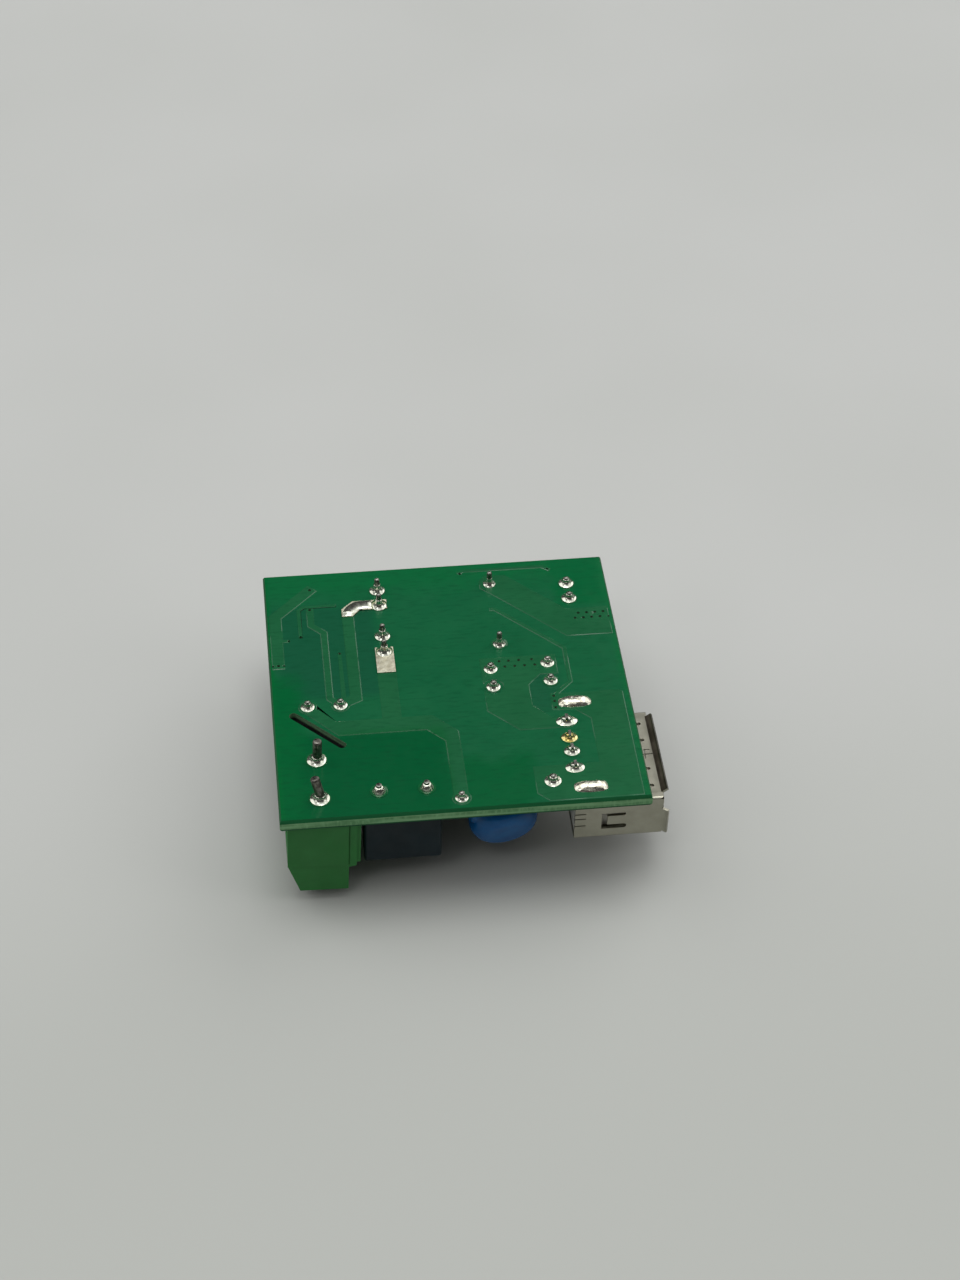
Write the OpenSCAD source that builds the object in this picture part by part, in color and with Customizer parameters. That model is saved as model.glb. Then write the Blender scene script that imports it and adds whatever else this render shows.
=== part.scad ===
// Small mains supply board with a two-way terminal block and a charging port.
// The board lies solder side up, on its transformer and its electrolytic capacitors.
// The origin is on the ground below the middle of the assembly. X runs along the board's
// front edge, Y to its back edge and Z up.

/* [Board] */
// Width of the board, along its front edge
board_w = 39.4; // [39:0.1:44]
// Depth of the board, front to back
board_d = 38.5; // [38:0.1:44]
// Thickness of the laminate
board_t = 1.6; // [1:0.1:2]
// Depth of the score along each edge, from each face
score_depth = 0.39; // [0.2:0.01:0.45]
// Width of the isolation slot
slot_w = 0.95; // [0.6:0.05:1.2]
// Diameter of a via
via_d = 0.35; // [0.2:0.05:0.4]
// Height of a copper track, with the mask over it
track_t = 0.05; // [0.03:0.01:0.1]
// Height of the tin on the two bare tracks
tin_t = 0.12; // [0.06:0.02:0.2]

/* [Leads and solder] */
// Diameter of the wire leads
lead_d = 0.6; // [0.4:0.05:0.8]
// Clearance of a lead in its hole, on the diameter
lead_clearance = 0.3; // [0.2:0.05:0.5]
// Height of a trimmed lead above the board
trimmed_lead_h = 0.9; // [0.6:0.05:1.4]
// Height of a transformer pin above the board
long_lead_h = 1.8; // [1.2:0.1:3]
// Height of the solder on a small joint
solder_h = 0.75; // [0.4:0.05:0.9]
// Radius of a small solder joint at the board
solder_r = 0.85; // [0.7:0.05:1]

/* [Terminal block] */
// Distance from the board's left edge to the terminal pins
terminal_inset_x = 4.4; // [4.1:0.1:6]
// Distance between the two terminal pins
terminal_pitch = 5.65; // [5:0.05:5.8]
// Length of the housing, along the board's left edge
terminal_l = 10.3; // [10:0.1:11]
// Height of the housing
terminal_h = 10.2; // [9:0.1:10.5]
// Distance from the pins to the face with the wire entries
terminal_outer = 3.6; // [3.4:0.1:4.2]
// Distance from the pins to the back of the upper housing
terminal_inner = 2.95; // [2.6:0.05:3.2]
// Distance from the pins to the back of the ledge
terminal_ledge = 4.2; // [4:0.05:4.3]
// Height of the ledge and of the line where the chamfer starts
terminal_ledge_z = 6.25; // [5.8:0.05:7]
// Run of the chamfer over the wire entries
terminal_chamfer = 1.35; // [0.8:0.05:1.6]
// Lean of the block, in degrees
terminal_lean = 2; // [0:0.5:5]
// Diameter of a terminal pin
terminal_pin_d = 1; // [0.8:0.05:1.2]
// Length of a terminal pin above the board
terminal_pin_h = 3; // [2:0.1:4]
// Width of a wire entry
wire_entry_w = 2.6; // [2:0.1:3]
// Height of a wire entry
wire_entry_h = 3; // [2.4:0.1:3.4]
// Diameter of a terminal screw's head
terminal_screw_d = 3.4; // [3:0.1:3.5]

/* [Fuse] */
// Gap between the terminal block and the fuse case
fuse_gap = 0.25; // [0.15:0.05:0.9]
// Length of the fuse case
fuse_l = 8.3; // [7.6:0.1:8.4]
// Width of the fuse case
fuse_w = 4; // [3.6:0.1:4.4]
// Height of the fuse case
fuse_h = 7.2; // [6:0.1:9]
// Distance between the fuse leads
fuse_pitch = 5.08; // [4.8:0.02:5.2]

/* [Suppression capacitor] */
// Diameter of the disc
disc_d = 7.6; // [7:0.1:8.2]
// Thickness of the disc
disc_t = 4.4; // [3.5:0.1:5]
// Distance between its leads
disc_pitch = 10; // [9.5:0.1:10.4]
// Lean of the disc towards the back, in degrees
disc_lean = 20; // [0:1:22]

/* [Transformer] */
// Height of the transformer
transformer_h = 12; // [11.4:0.1:13]
// Length of the ferrite core, front to back
core_l = 13; // [12.6:0.1:13.2]
// Width of the ferrite core
core_w = 6; // [5:0.1:7]
// Distance between the two rows of pins
transformer_row = 12.95; // [12.6:0.05:14]
// Distance from the first to the last primary pin
primary_span = 10.2; // [9.8:0.1:10.4]
// Distance between the two secondary pins
secondary_span = 10.1; // [9.8:0.1:10.4]

/* [Bulk capacitor] */
// Diameter of the bulk capacitor
bulk_d = 8; // [7:0.1:8.6]
// Height of the bulk capacitor
bulk_h = 12; // [11:0.1:13]
// Distance between its leads
bulk_pitch = 3.6; // [3:0.1:4]

/* [Output capacitors] */
// Diameter of an output capacitor
output_d = 6.3; // [5:0.1:6.4]
// Height of an output capacitor
output_h = 12; // [11:0.1:13]
// Distance between its leads
output_pitch = 2.85; // [2:0.05:3]

/* [Charging port] */
// Distance from the board's right edge to the row of contacts
port_inset_x = 7.64; // [7.5:0.02:9]
// Width of the shell
port_w = 13.1; // [12.9:0.1:13.4]
// Height of the shell
port_h = 5.6; // [5.4:0.1:6.2]
// Distance from the contacts to the mouth
port_reach = 9.3; // [9.2:0.1:11]
// Thickness of the shell
port_wall = 0.3; // [0.2:0.05:0.4]
// Gap between the board and the shell
port_stand = 0.7; // [0.4:0.05:1]
// Length of the flared lips
port_lip = 0.9; // [0.4:0.05:1]

/* [Indicator lamp] */
// Diameter of the lens
lamp_d = 3; // [2.6:0.1:3.4]
// Height of the lamp above the board
lamp_h = 5.3; // [4.5:0.1:6]

/* [Hidden] */

$fn = 48;
EPS = 0.01;           // overlap that keeps joined shapes in one solid
CUT = 0.5;            // how far a cutter runs past a face
left_x = -board_w / 2;
right_x = board_w / 2;
front_y = -board_d / 2;

// Height of the component face, set by the tallest components that the board lies on.
// They stand on its copper.
component_h = max(transformer_h, bulk_h, output_h) + track_t;
solder_z = component_h + board_t;

// Places on the board, seen from the solder side. A distance along the front edge is taken
// from the board's nearest side, and a depth moves with the depth of the board.
drawn_d = 38.5;
function depth(y) = y * board_d / drawn_d;
function from_left(inset, y) = [left_x + inset, depth(y)];
function from_right(inset, y) = [right_x - inset, depth(y)];

terminal_at = from_left(terminal_inset_x, -13.47);
fuse_shift = -0.2;                       // middle of the case, from the middle of the leads
fuse_at = [terminal_at.x + terminal_ledge + fuse_gap + fuse_l / 2 - fuse_shift, depth(-15.8)];
port_at = from_right(port_inset_x, -10.9);
disc_at = [(fuse_at.x + fuse_l / 2 + port_at.x) / 2 - 0.35, depth(-16.85)];
disc_turn = 8.7;
bulk_at = from_left(5.71, -2.6);
transformer_at = [-0.28, depth(10.5)];
output_left_at = from_right(14.93, 0.07);
output_right_at = from_right(8.52, 0.5);
lamp_at = from_right(4.67, 13.55);
lamp_pitch = 2.54;
bridge_at = [fuse_at.x + 0.1, depth(-9.6)];
controller_at = from_left(5.7, 8.2);
output_diode_at = from_right(3.1, 4.6);
clamp_diode_at = from_left(6.3, 14.8);

// Solder joints: place, lead diameter, radius at the board, height
function across(at, pitch) = [[at.x - pitch / 2, at.y], [at.x + pitch / 2, at.y]];
function along(at, pitch) = [[at.x, at.y + pitch / 2], [at.x, at.y - pitch / 2]];
terminal_pads = along(terminal_at, terminal_pitch);
fuse_pads = across(fuse_at, fuse_pitch);
disc_pads = [for (s = [-1, 1]) disc_at + s * disc_pitch / 2 * [cos(disc_turn), sin(disc_turn)]];
bulk_pads = across(bulk_at, bulk_pitch);
output_pads = concat(along(output_left_at, output_pitch), along(output_right_at, output_pitch));
primary_pads = [for (k = [1, 0.5, -0.5, -1])
    transformer_at + [-transformer_row / 2, k * primary_span / 2]];
secondary_pads = [for (k = [1, -1]) transformer_at + [transformer_row / 2, k * secondary_span / 2]];
lamp_pads = along(lamp_at, lamp_pitch);
port_contact_y = [3.5, 1, -1, -3.5];
port_pads = [for (y = port_contact_y) port_at + [0, y]];
port_tab_x = 1.3;                        // shell tabs, from the row of contacts
port_tab_w = 2;                          // width of a shell tab
port_tab_pads = [for (s = [1, -1]) port_at + [port_tab_x, s * (port_w - port_wall) / 2]];

hole_d = lead_d + lead_clearance;
terminal_hole_d = terminal_pin_d + lead_clearance + 0.1;
contact_w = 0.7;                         // width of a port contact
contact_t = 0.3;                         // thickness of a port contact
contact_hole_d = norm([contact_w, contact_t]) + 0.14;
wire_pads = concat(fuse_pads, disc_pads, bulk_pads, output_pads, primary_pads, secondary_pads, lamp_pads);

// Vias, in the tracks they serve
via_pitch = 0.95;
via_row = 0.8;
charge_via_pitch = 0.6;
vias = concat(
    [for (k = [-1:1]) from_left(1.08, 4.15) + [charge_via_pitch * k, 0]],
    [from_left(2.4, 8.1), from_left(5.25, 16.35), from_left(3.8, 8.6), from_left(5.05, 13),
     from_left(7.95, 5.5), [3, depth(17.6)], from_right(6.5, 17.5)],
    [for (k = [0:3]) from_right(3.95, 9.67) + [via_pitch * k, 0]],
    [for (k = [0:4]) from_right(4.42, 9.67) + [via_pitch * k, -via_row]],
    [for (x = [1.08, 2.13, 3.28, 4.73]) output_left_at + [x, 2.53]],
    [for (x = [1.63, 2.73, 3.83, 4.98]) output_left_at + [x, 1.63]],
    [for (y = [5.7, 6.7, 7.5]) port_at + [-0.86, y]]);

// Tinned pad below the last primary pin
tinned_pad_w = 2.05;
tinned_pad_l = 4.05;
tinned_pad_top = primary_pads[3].y + 0.6;

// ---------------------------------------------------------------- placing

// From the board's own frame to the assembly: the board's solder face is its Z = 0
module on_board() translate([-frame_x, 0, solder_z]) children();

// A component stands on Z = 0 in its own frame, and hangs from the copper below the board
module hang(at) on_board() stand_below(at) children();
module stand_below(at) translate([at.x, at.y, -board_t - track_t]) rotate([180, 0, 0]) children();
pass_t = board_t + 2 * track_t;          // from a component's Z = 0 to the top of the solder side

module on_points(points) for (p = points) translate([p.x, p.y, 0]) children();

function unit(v) = v / norm(v);
function left_of(v) = [-v.y, v.x];

// One side of a track of half width s, mitred at its bends
function track_side(path, i, s) = let (
    before = unit(i > 0 ? path[i] - path[i - 1] : path[1] - path[0]),
    after = i < len(path) - 1 ? unit(path[i + 1] - path[i]) : before,
    out = unit(left_of(before) + left_of(after)))
    path[i] + out * s / (out * left_of(before));

// Outline of a track of one width
function ribbon(path, w) = concat(
    [for (i = [0:len(path) - 1]) track_side(path, i, w / 2)],
    [for (i = [len(path) - 1:-1:0]) track_side(path, i, -w / 2)]);

module flat_shape(points, t) linear_extrude(height = t) polygon(points);

// A box with all its edges chamfered, standing on Z = 0
module chamfered_box(size, c) {
    x = size.x / 2; y = size.y / 2; z = size.z;
    intersection() {
        linear_extrude(height = z) polygon(chamfered(x, y, c));
        translate([0, y, z / 2]) rotate([90, 0, 0])
            linear_extrude(height = size.y) polygon(chamfered(x, z / 2, c));
        translate([-x, 0, z / 2]) rotate([90, 0, 90])
            linear_extrude(height = size.x) polygon(chamfered(y, z / 2, c));
    }
}
function chamfered(x, y, c) = [[-x + c, -y], [x - c, -y], [x, -y + c], [x, y - c],
    [x - c, y], [-x + c, y], [-x, y - c], [-x, -y + c]];

// A round wire from one point to another
module wire(a, b, d) {
    v = b - a;
    translate(a) rotate([0, acos(v.z / norm(v)), atan2(v.y, v.x)]) cylinder(d = d, h = norm(v));
}

// A bent round wire, with a ball in each bend
module bent_wire(points, d) {
    for (i = [0:len(points) - 2]) wire(points[i], points[i + 1], d);
    for (i = [1:len(points) - 2]) translate(points[i]) sphere(d = d + 2 * EPS);
}

// ---------------------------------------------------------------- board

slot_from = from_left(2.3, -3.8);
slot_to = from_left(7.25, -8.65);
score_run = score_depth * tan(27);       // how far a score's sides cut into a face

// Section of the scored laminate, half of it s wide: the web in the middle stands out
function scored(s) = [[-s + score_run, 0], [s - score_run, 0], [s, -score_depth],
    [s, score_depth - board_t], [s - score_run, -board_t], [-s + score_run, -board_t],
    [-s, score_depth - board_t], [-s, -score_depth]];

module laminate() intersection() {
    translate([left_x, 0, 0]) rotate([90, 0, 90])
        linear_extrude(height = board_w) polygon(scored(board_d / 2));
    translate([0, -front_y, 0]) rotate([90, 0, 0])
        linear_extrude(height = board_d) polygon(scored(board_w / 2));
}

module lead_holes(t) {
    translate([0, 0, -t]) {
        on_points(wire_pads) cylinder(d = hole_d, h = 3 * t);
        on_points(terminal_pads) cylinder(d = terminal_hole_d, h = 3 * t);
        on_points(port_pads) cylinder(d = contact_hole_d, h = 3 * t);
        on_points(port_tab_pads) tab_hole(3 * t);
        on_points(vias) cylinder(d = via_d, h = 3 * t, $fn = 16);
    }
}

module tab_hole(h) {
    w = port_tab_w + 0.4;
    t = port_wall + 0.5;
    translate([-w / 2 + t / 2, -t / 2, 0]) cube([w - t, t, h]);
    for (s = [-1, 1]) translate([s * (w - t) / 2, 0, 0]) cylinder(d = t, h = h);
}

module circuit_board() color("#0f6a3c") on_board() difference() {
    laminate();
    translate([0, 0, -board_t]) lead_holes(board_t);
    translate([0, 0, -board_t - CUT]) linear_extrude(height = board_t + 2 * CUT)
        polygon(ribbon([slot_from, slot_to], slot_w));
    on_points([slot_from, slot_to]) translate([0, 0, -board_t - CUT])
        cylinder(d = slot_w, h = board_t + 2 * CUT);
}

// Copper on the solder side: bands and pours as outlines, lines as paths with a width
band_left = disc_pads[0].x - 0.8;
mains_band = [bulk_pads[0] + [-0.6, -0.6], from_left(7, -7.2), [band_left - 1.9, depth(-7.2)],
    [band_left, depth(-9.1)], disc_pads[0] + [-0.75, 0], disc_pads[0] + [0.75, 0],
    [disc_pads[0].x + 0.62, depth(-7.75)], [disc_pads[0].x - 1.95, depth(-5.15)],
    from_left(6.85, -5.15), bulk_pads[0] + [1.1, -0.5]];
rectifier_pour = [secondary_pads[0] + [-1.1, 0.5], secondary_pads[0] + [-0.4, 1.35],
    secondary_pads[0] + [1.9, 1.25], from_right(5.25, 10.45), from_right(0.6, 10.45),
    from_right(0.6, 6.1), from_right(5.73, 6.1), secondary_pads[0] + [0, -1.7],
    secondary_pads[0] + [-1.1, -0.7]];
supply_pour = [output_left_at + [-1.02, 3.08], output_left_at + [-1.02, -5.12],
    port_pads[0] + [-5.11, -0.8], port_pads[0] + [0.5, -0.85], port_pads[0] + [0.5, 0.6],
    port_pads[0] + [-1.4, 0.6], output_left_at + [3.88, -4.72], output_left_at + [3.88, -1.42],
    output_right_at + [-1.08, -0.3], output_right_at + [0.92, -0.3], output_right_at + [0.92, 2.65]];
return_edge = 0.35;                      // from the front edge to the return pour
return_pour = [[port_at.x - 4.41, port_pads[3].y + 0.5], port_pads[3] + [2.79, 0.5],
    port_at + [2.79, 3.75], port_at + [1.14, 5.4], port_at + [-1.16, 5.4], port_at + [-1.16, 7.8],
    [right_x - 1.2, port_at.y + 7.8], [right_x - 0.9, port_at.y + 7.5],
    [right_x - 0.9, front_y + return_edge], [port_at.x - 3.21, front_y + return_edge],
    [port_at.x - 4.41, front_y + return_edge + 1.15]];
drain_track = [[primary_pads[3].x, tinned_pad_top - tinned_pad_l + 0.2], [primary_pads[3].x, depth(-5.6)]];
primary_track = [primary_pads[1] + [-3.65, -1.45], [primary_pads[1].x - 3.65, depth(-1.7)], bulk_pads[1]];
charge_track = [from_left(1.08, 3.7), from_left(1.08, 12.1), from_left(5.5, 16.6)];
start_track = [from_left(5.05, 13.2), from_left(5.05, 10.4), from_left(6.42, 9.05),
    from_left(6.42, -1.5), bulk_pads[1]];
sense_tracks = [
    [from_left(3.8, 8.4), from_left(3.8, 13), from_left(4.35, 13.5), from_left(8, 13.5)],
    [from_left(7.95, 5.7), from_left(7.95, -1.9), bulk_pads[1]],
    [from_left(1.6, 8.1), from_left(2.5, 8.1)],
    [[2.8, depth(17.6)], [3.4, depth(18)], from_right(7.15, 18), from_right(6.35, 17.35)],
    [[5.8, depth(11.2)], [6.3, depth(11.2)], from_right(6.35, 4.15), from_right(6.35, -1.25),
     port_at + [-0.86, 7.5]]];
sense_w = 0.34;

module copper_outlines() {
    for (p = [mains_band, rectifier_pour, supply_pour, return_pour]) polygon(p);
    polygon(ribbon(drain_track, tinned_pad_w - 0.1));
    polygon(ribbon(primary_track, 1.2));
    polygon(ribbon(charge_track, 1.25));
    polygon(ribbon(start_track, 0.66));
    for (p = sense_tracks) polygon(ribbon(p, sense_w));
}

land_rim = 0.1;                          // ring of a land outside its solder
module land(r, t) cylinder(r = r, h = t);

module solder_side_tracks() color("#2c7a45") on_board() difference() {
    union() {
        linear_extrude(height = track_t) copper_outlines();
        on_points(wire_pads) land(solder_r + land_rim, track_t);
        on_points(terminal_pads) land(terminal_land_r, track_t);
        on_points(port_pads) land(solder_r + land_rim, track_t);
        on_points(port_tab_pads) translate([0, 0, track_t / 2])
            cube([tab_land.x, tab_land.y, track_t], center = true);
    }
    lead_holes(CUT);
    // gap round the negative lead of the left output capacitor
    translate([output_pads[1].x, output_pads[1].y, -CUT]) difference() {
        cylinder(r = solder_r + land_rim + gap_w, h = 2 * CUT);
        translate([0, 0, -CUT]) cylinder(r = solder_r + land_rim, h = 4 * CUT);
    }
}
terminal_land_r = 1.4 * solder_r;
tab_land = [3.7, 2.1];
gap_w = 0.25;                            // clearance round a pad inside a pour

// Bare tinned copper: the pad below a primary pin and the short track beside another
module tinned_tracks() color("#cfcdb8") on_board() translate([0, 0, track_t]) difference() {
    union() {
        translate([primary_pads[3].x - tinned_pad_w / 2, tinned_pad_top - tinned_pad_l, 0])
            cube([tinned_pad_w, tinned_pad_l, tin_t]);
        flat_shape(tinned_link, tin_t);
    }
    translate([0, 0, -track_t]) lead_holes(CUT);
    for (p = [primary_pads[1], primary_pads[3]]) translate([p.x, p.y, -CUT])
        cylinder(r = primary_solder_r, h = 2 * CUT);
    translate([primary_pads[3].x, primary_pads[3].y - 0.5, -CUT]) cylinder(d = 0.2, h = 2 * CUT, $fn = 16);
}
tinned_link = [for (p = [[-4.3, -1.65], [-3.1, -1.65], [-2.25, -0.65], [0.9, -0.65], [0.9, 0.85],
    [-3, 0.85], [-4.3, -0.4]]) primary_pads[1] + p];

// Copper on the component side: round lands, lands for the surface parts and the mains tracks
module component_side_tracks() color("#2c7a45") on_board()
    translate([0, 0, -board_t - track_t]) difference() {
        union() {
            on_points(concat(wire_pads, port_pads)) land(solder_r, track_t);
            on_points(terminal_pads) land(terminal_land_r, track_t);
            for (t = power_tracks) flat_shape(ribbon(t, power_w), track_t);
            for (t = signal_tracks) flat_shape(ribbon(t, sense_w), track_t);
            flat_shape(diode_pour, track_t);
            for (p = surface_lands) translate([p[0].x - p[1].x / 2, p[0].y - p[1].y / 2, 0])
                cube([p[1].x, p[1].y, track_t]);
        }
        lead_holes(CUT);
    }

// ---------------------------------------------------------------- solder

// Concave fillet of solder from radius rb at the board to radius rt at height h
fillet_steps = 6;
function fillet(rb, rt, h) = concat([[0, 0]],
    [for (i = [0:fillet_steps]) let (t = i / fillet_steps) [rt + (rb - rt) * pow(1 - t, 2), h * t]],
    [[0, h]]);
module solder_cone(rb, rt, h) translate([0, 0, track_t]) rotate_extrude() polygon(fillet(rb, rt, h));

// Solder round each lead: the fillet, and what fills the hole below it
module lead_joints(points, rb, h, lead = lead_d, hole = hole_d) on_points(points) difference() {
    union() {
        solder_cone(rb, lead / 2 + 0.12, h);
        translate([0, 0, -board_t]) cylinder(d = hole - EPS, h = board_t + track_t + EPS);
    }
    translate([0, 0, -board_t - CUT]) cylinder(d = lead, h = board_t + h + 2 * CUT);
}

primary_solder_r = 1.12 * solder_r;
secondary_solder_r = 0.92 * solder_r;
fuse_solder_r = 0.88 * solder_r;
terminal_solder_r = 1.34 * solder_r;
trimmed_solder_h = trimmed_lead_h - 0.1;
tall_solder_h = solder_h + 0.2;

module fuse_solder() color("silver") on_board() lead_joints(fuse_pads, fuse_solder_r, trimmed_solder_h);
module capacitor_solder() color("silver") on_board() {
    lead_joints(concat(bulk_pads, output_pads), solder_r, solder_h);
    lead_joints([disc_pads[0]], secondary_solder_r, trimmed_solder_h);
    lead_joints([disc_pads[1]], 1.18 * solder_r, solder_h);
}
module transformer_solder() color("silver") on_board() {
    lead_joints(primary_pads, primary_solder_r, tall_solder_h);
    lead_joints(secondary_pads, secondary_solder_r, tall_solder_h);
}
module lamp_solder() color("silver") on_board() lead_joints(lamp_pads, 1.1 * solder_r, solder_h);

module terminal_solder() color("silver") on_board() difference() {
    on_points(terminal_pads) {
        solder_cone(terminal_solder_r, terminal_pin_d / 2 + 0.15, tall_solder_h);
        translate([0, 0, -board_t]) cylinder(d = terminal_hole_d - EPS, h = board_t + track_t + EPS);
    }
    at_terminal_on_board() both_terminal_pins();
}

// Wide mounds on the port: a low ridge over each tab, cones on the contacts
module port_solder() color("silver") on_board() {
    on_points(port_tab_pads) difference() {
        union() {
            hull() for (s = [-1, 1]) translate([s * solder_r, 0, 0]) tab_mound();
            translate([0, 0, -board_t]) intersection() {
                tab_hole(board_t + track_t + EPS);
                cube([port_tab_w + 0.38, port_wall + 0.48, 3 * board_t], center = true);
            }
        }
        cube([port_tab_w, port_wall, 4 * board_t], center = true);
    }
    on_points(port_pads) difference() {
        union() {
            solder_cone(solder_r, contact_w / 2 + 0.15, solder_h);
            translate([0, 0, -board_t]) cylinder(d = contact_hole_d - EPS, h = board_t + track_t + EPS);
        }
        cube([contact_t, contact_w, 4 * board_t], center = true);
    }
}
module tab_mound() translate([0, 0, track_t]) rotate_extrude($fn = 32) polygon(
    [for (p = [[0, 0], [1.18, 0], [1.12, 0.27], [0.88, 0.56], [0.47, 0.73], [0, 0.8]])
        [p.x * solder_r, p.y * solder_h]]);

// ---------------------------------------------------------------- terminal block

pole_y = [-terminal_pitch / 2, terminal_pitch / 2];
cage = [4.2, 3.4, 4.8];                  // outside of a wire cage
cage_z = 1.2;                            // floor of the housing below the cages
cage_side = 0.5;
cage_roof = 1.4;
cage_floor = 0.6;
cage_gap = 0.1;                          // clearance of a cage in the housing
screw_shank_d = 2.5;
screw_head_h = 1.4;
screw_head_z = cage_z + cage.z + 0.5;
screw_tip_z = cage_z + cage_floor + 2;
driver_slot = [0.6, 0.7];                // width and depth
pin_bend_z = 0.55;                       // where the front pin is bent, above the board
front_pin_bend = [-8, 15, 0];
end_step = 0.12;                         // how far the upper body's ends stand back
ledge_steps = [0.16, 0.4];               // how far the ends of the ledge's two steps stand back
ledge_split = (terminal_inner + terminal_ledge) / 2 + 0.2;

groove_w = 0.12;

// The block pivots on the lower edge of its wire side
module lean_terminal() translate([-terminal_outer, 0, 0]) rotate([0, -terminal_lean, 0])
    translate([terminal_outer, 0, 0]) children();
module at_terminal() hang(terminal_at) lean_terminal() children();
module at_terminal_on_board() stand_below(terminal_at) lean_terminal() children();

module side_profile(l, points) rotate([90, 0, 0]) linear_extrude(height = l, center = true) polygon(points);

module terminal_housing() color("#4fa548") at_terminal() difference() {
    union() {
        // body up to the line on its ends
        side_profile(terminal_l, [[-terminal_outer, 0], [terminal_inner, 0],
            [terminal_inner, terminal_ledge_z], [-terminal_outer, terminal_ledge_z]]);
        // upper body, slightly shorter, with the chamfer over the wire entries
        side_profile(terminal_l - 2 * end_step, [[-terminal_outer, terminal_ledge_z - EPS],
            [terminal_inner, terminal_ledge_z - EPS], [terminal_inner, terminal_h],
            [-terminal_outer + terminal_chamfer, terminal_h], [-terminal_outer, terminal_ledge_z]]);
        // stepped ledge at the back
        side_profile(terminal_l - 2 * ledge_steps[0], [[terminal_inner - EPS, 0], [ledge_split, 0],
            [ledge_split, terminal_ledge_z + 0.3], [terminal_inner - EPS, terminal_ledge_z + 0.55]]);
        side_profile(terminal_l - 2 * ledge_steps[1], [[ledge_split - EPS, 0], [terminal_ledge, 0],
            [terminal_ledge, terminal_ledge_z - 0.05], [ledge_split - EPS, terminal_ledge_z + 0.1]]);
    }
    for (y = pole_y) translate([0, y, 0]) {
        translate([0, 0, cage_z + (cage.z + cage_gap) / 2])
            cube([cage.x + 2 * cage_gap, cage.y + 2 * cage_gap, cage.z + cage_gap], center = true);
        translate([0, 0, cage_z + cage.z]) cylinder(d = terminal_screw_d + 0.2, h = terminal_h);
        translate([-terminal_outer - CUT, -wire_entry_w / 2, cage_z + cage_floor - 0.1])
            cube([terminal_outer, wire_entry_w, wire_entry_h]);
        entry_funnel();
        translate([0, 0, -CUT]) cylinder(d = terminal_pin_d + 0.1, h = cage_z + 2 * CUT);
    }
    // grooves down both ends, where the ledge meets the body
    for (s = [-1, 1]) translate([terminal_inner, s * terminal_l / 2, (terminal_ledge_z - CUT) / 2])
        cube([groove_w, 4 * groove_w, terminal_ledge_z + CUT], center = true);
    // recess under the foot, between the pins
    translate([0, 0, 0.2 - CUT]) cube([5, terminal_pitch - 2.6, 2 * CUT], center = true);
}

// The wire entry widens at the face
module entry_funnel() {
    d = 0.4;
    z = cage_z + cage_floor - 0.1 + wire_entry_h / 2;
    translate([-terminal_outer, 0, z]) rotate([0, -90, 0]) rotate([0, 0, 90])
        intersection() {
            translate([0, 0, -CUT]) cube([wire_entry_w + 2 * d, wire_entry_h + 2 * d, 3], center = true);
            rotate([90, 0, 0]) linear_extrude(height = 20, center = true)
                polygon([[-wire_entry_w / 2, -d], [wire_entry_w / 2, -d],
                    [wire_entry_w / 2 + 2 * d, d], [-wire_entry_w / 2 - 2 * d, d]]);
            rotate([90, 0, 90]) linear_extrude(height = 20, center = true)
                polygon([[-wire_entry_h / 2, -d], [wire_entry_h / 2, -d],
                    [wire_entry_h / 2 + 2 * d, d], [-wire_entry_h / 2 - 2 * d, d]]);
        }
}

module terminal_cages() color("#c8a24a") at_terminal()
    for (y = pole_y) translate([0, y, cage_z]) terminal_cage();
module terminal_cage() difference() {
    translate([0, 0, cage.z / 2]) cube(cage, center = true);
    translate([-cage.x, -cage.y / 2 + cage_side, cage_floor])
        cube([2 * cage.x, cage.y - 2 * cage_side, cage.z - cage_floor - cage_roof]);
    translate([0, 0, cage.z / 2]) cylinder(d = screw_shank_d, h = cage.z);
    translate([0, 0, -CUT]) cylinder(d = terminal_pin_d, h = 2 * CUT + cage_floor);
}

module straight_pin(h) translate([0, 0, -pass_t - h])
    cylinder(d = terminal_pin_d, h = cage_z + cage_floor + pass_t + h);

// The back pin is straight, and the front one is bent over to the left
module both_terminal_pins() {
    translate([0, pole_y[0], 0]) straight_pin(terminal_pin_h);
    translate([0, pole_y[1], 0]) {
        straight_pin(pin_bend_z);
        translate([0, 0, -pass_t - pin_bend_z]) {
            sphere(d = terminal_pin_d + 2 * EPS);
            rotate(front_pin_bend) translate([0, 0, pin_bend_z - terminal_pin_h])
                cylinder(d = terminal_pin_d, h = terminal_pin_h - pin_bend_z);
        }
    }
}
module terminal_pins() color("silver") at_terminal() both_terminal_pins();

module terminal_screw(y) color("#b9bcc0") at_terminal() translate([0, y, 0]) difference() {
    union() {
        translate([0, 0, screw_head_z]) cylinder(d = terminal_screw_d, h = screw_head_h);
        translate([0, 0, screw_tip_z]) cylinder(d = screw_shank_d, h = screw_head_z - screw_tip_z + EPS);
    }
    translate([0, 0, screw_head_z + screw_head_h])
        cube([terminal_screw_d + 1, driver_slot[0], 2 * driver_slot[1]], center = true);
}
module terminal_screw_front() terminal_screw(pole_y[1]);
module terminal_screw_back() terminal_screw(pole_y[0]);

// ---------------------------------------------------------------- fuse

fuse_wall = 0.5;
fuse_stand = 0.3;
fuse_base_t = 1.2;

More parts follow.
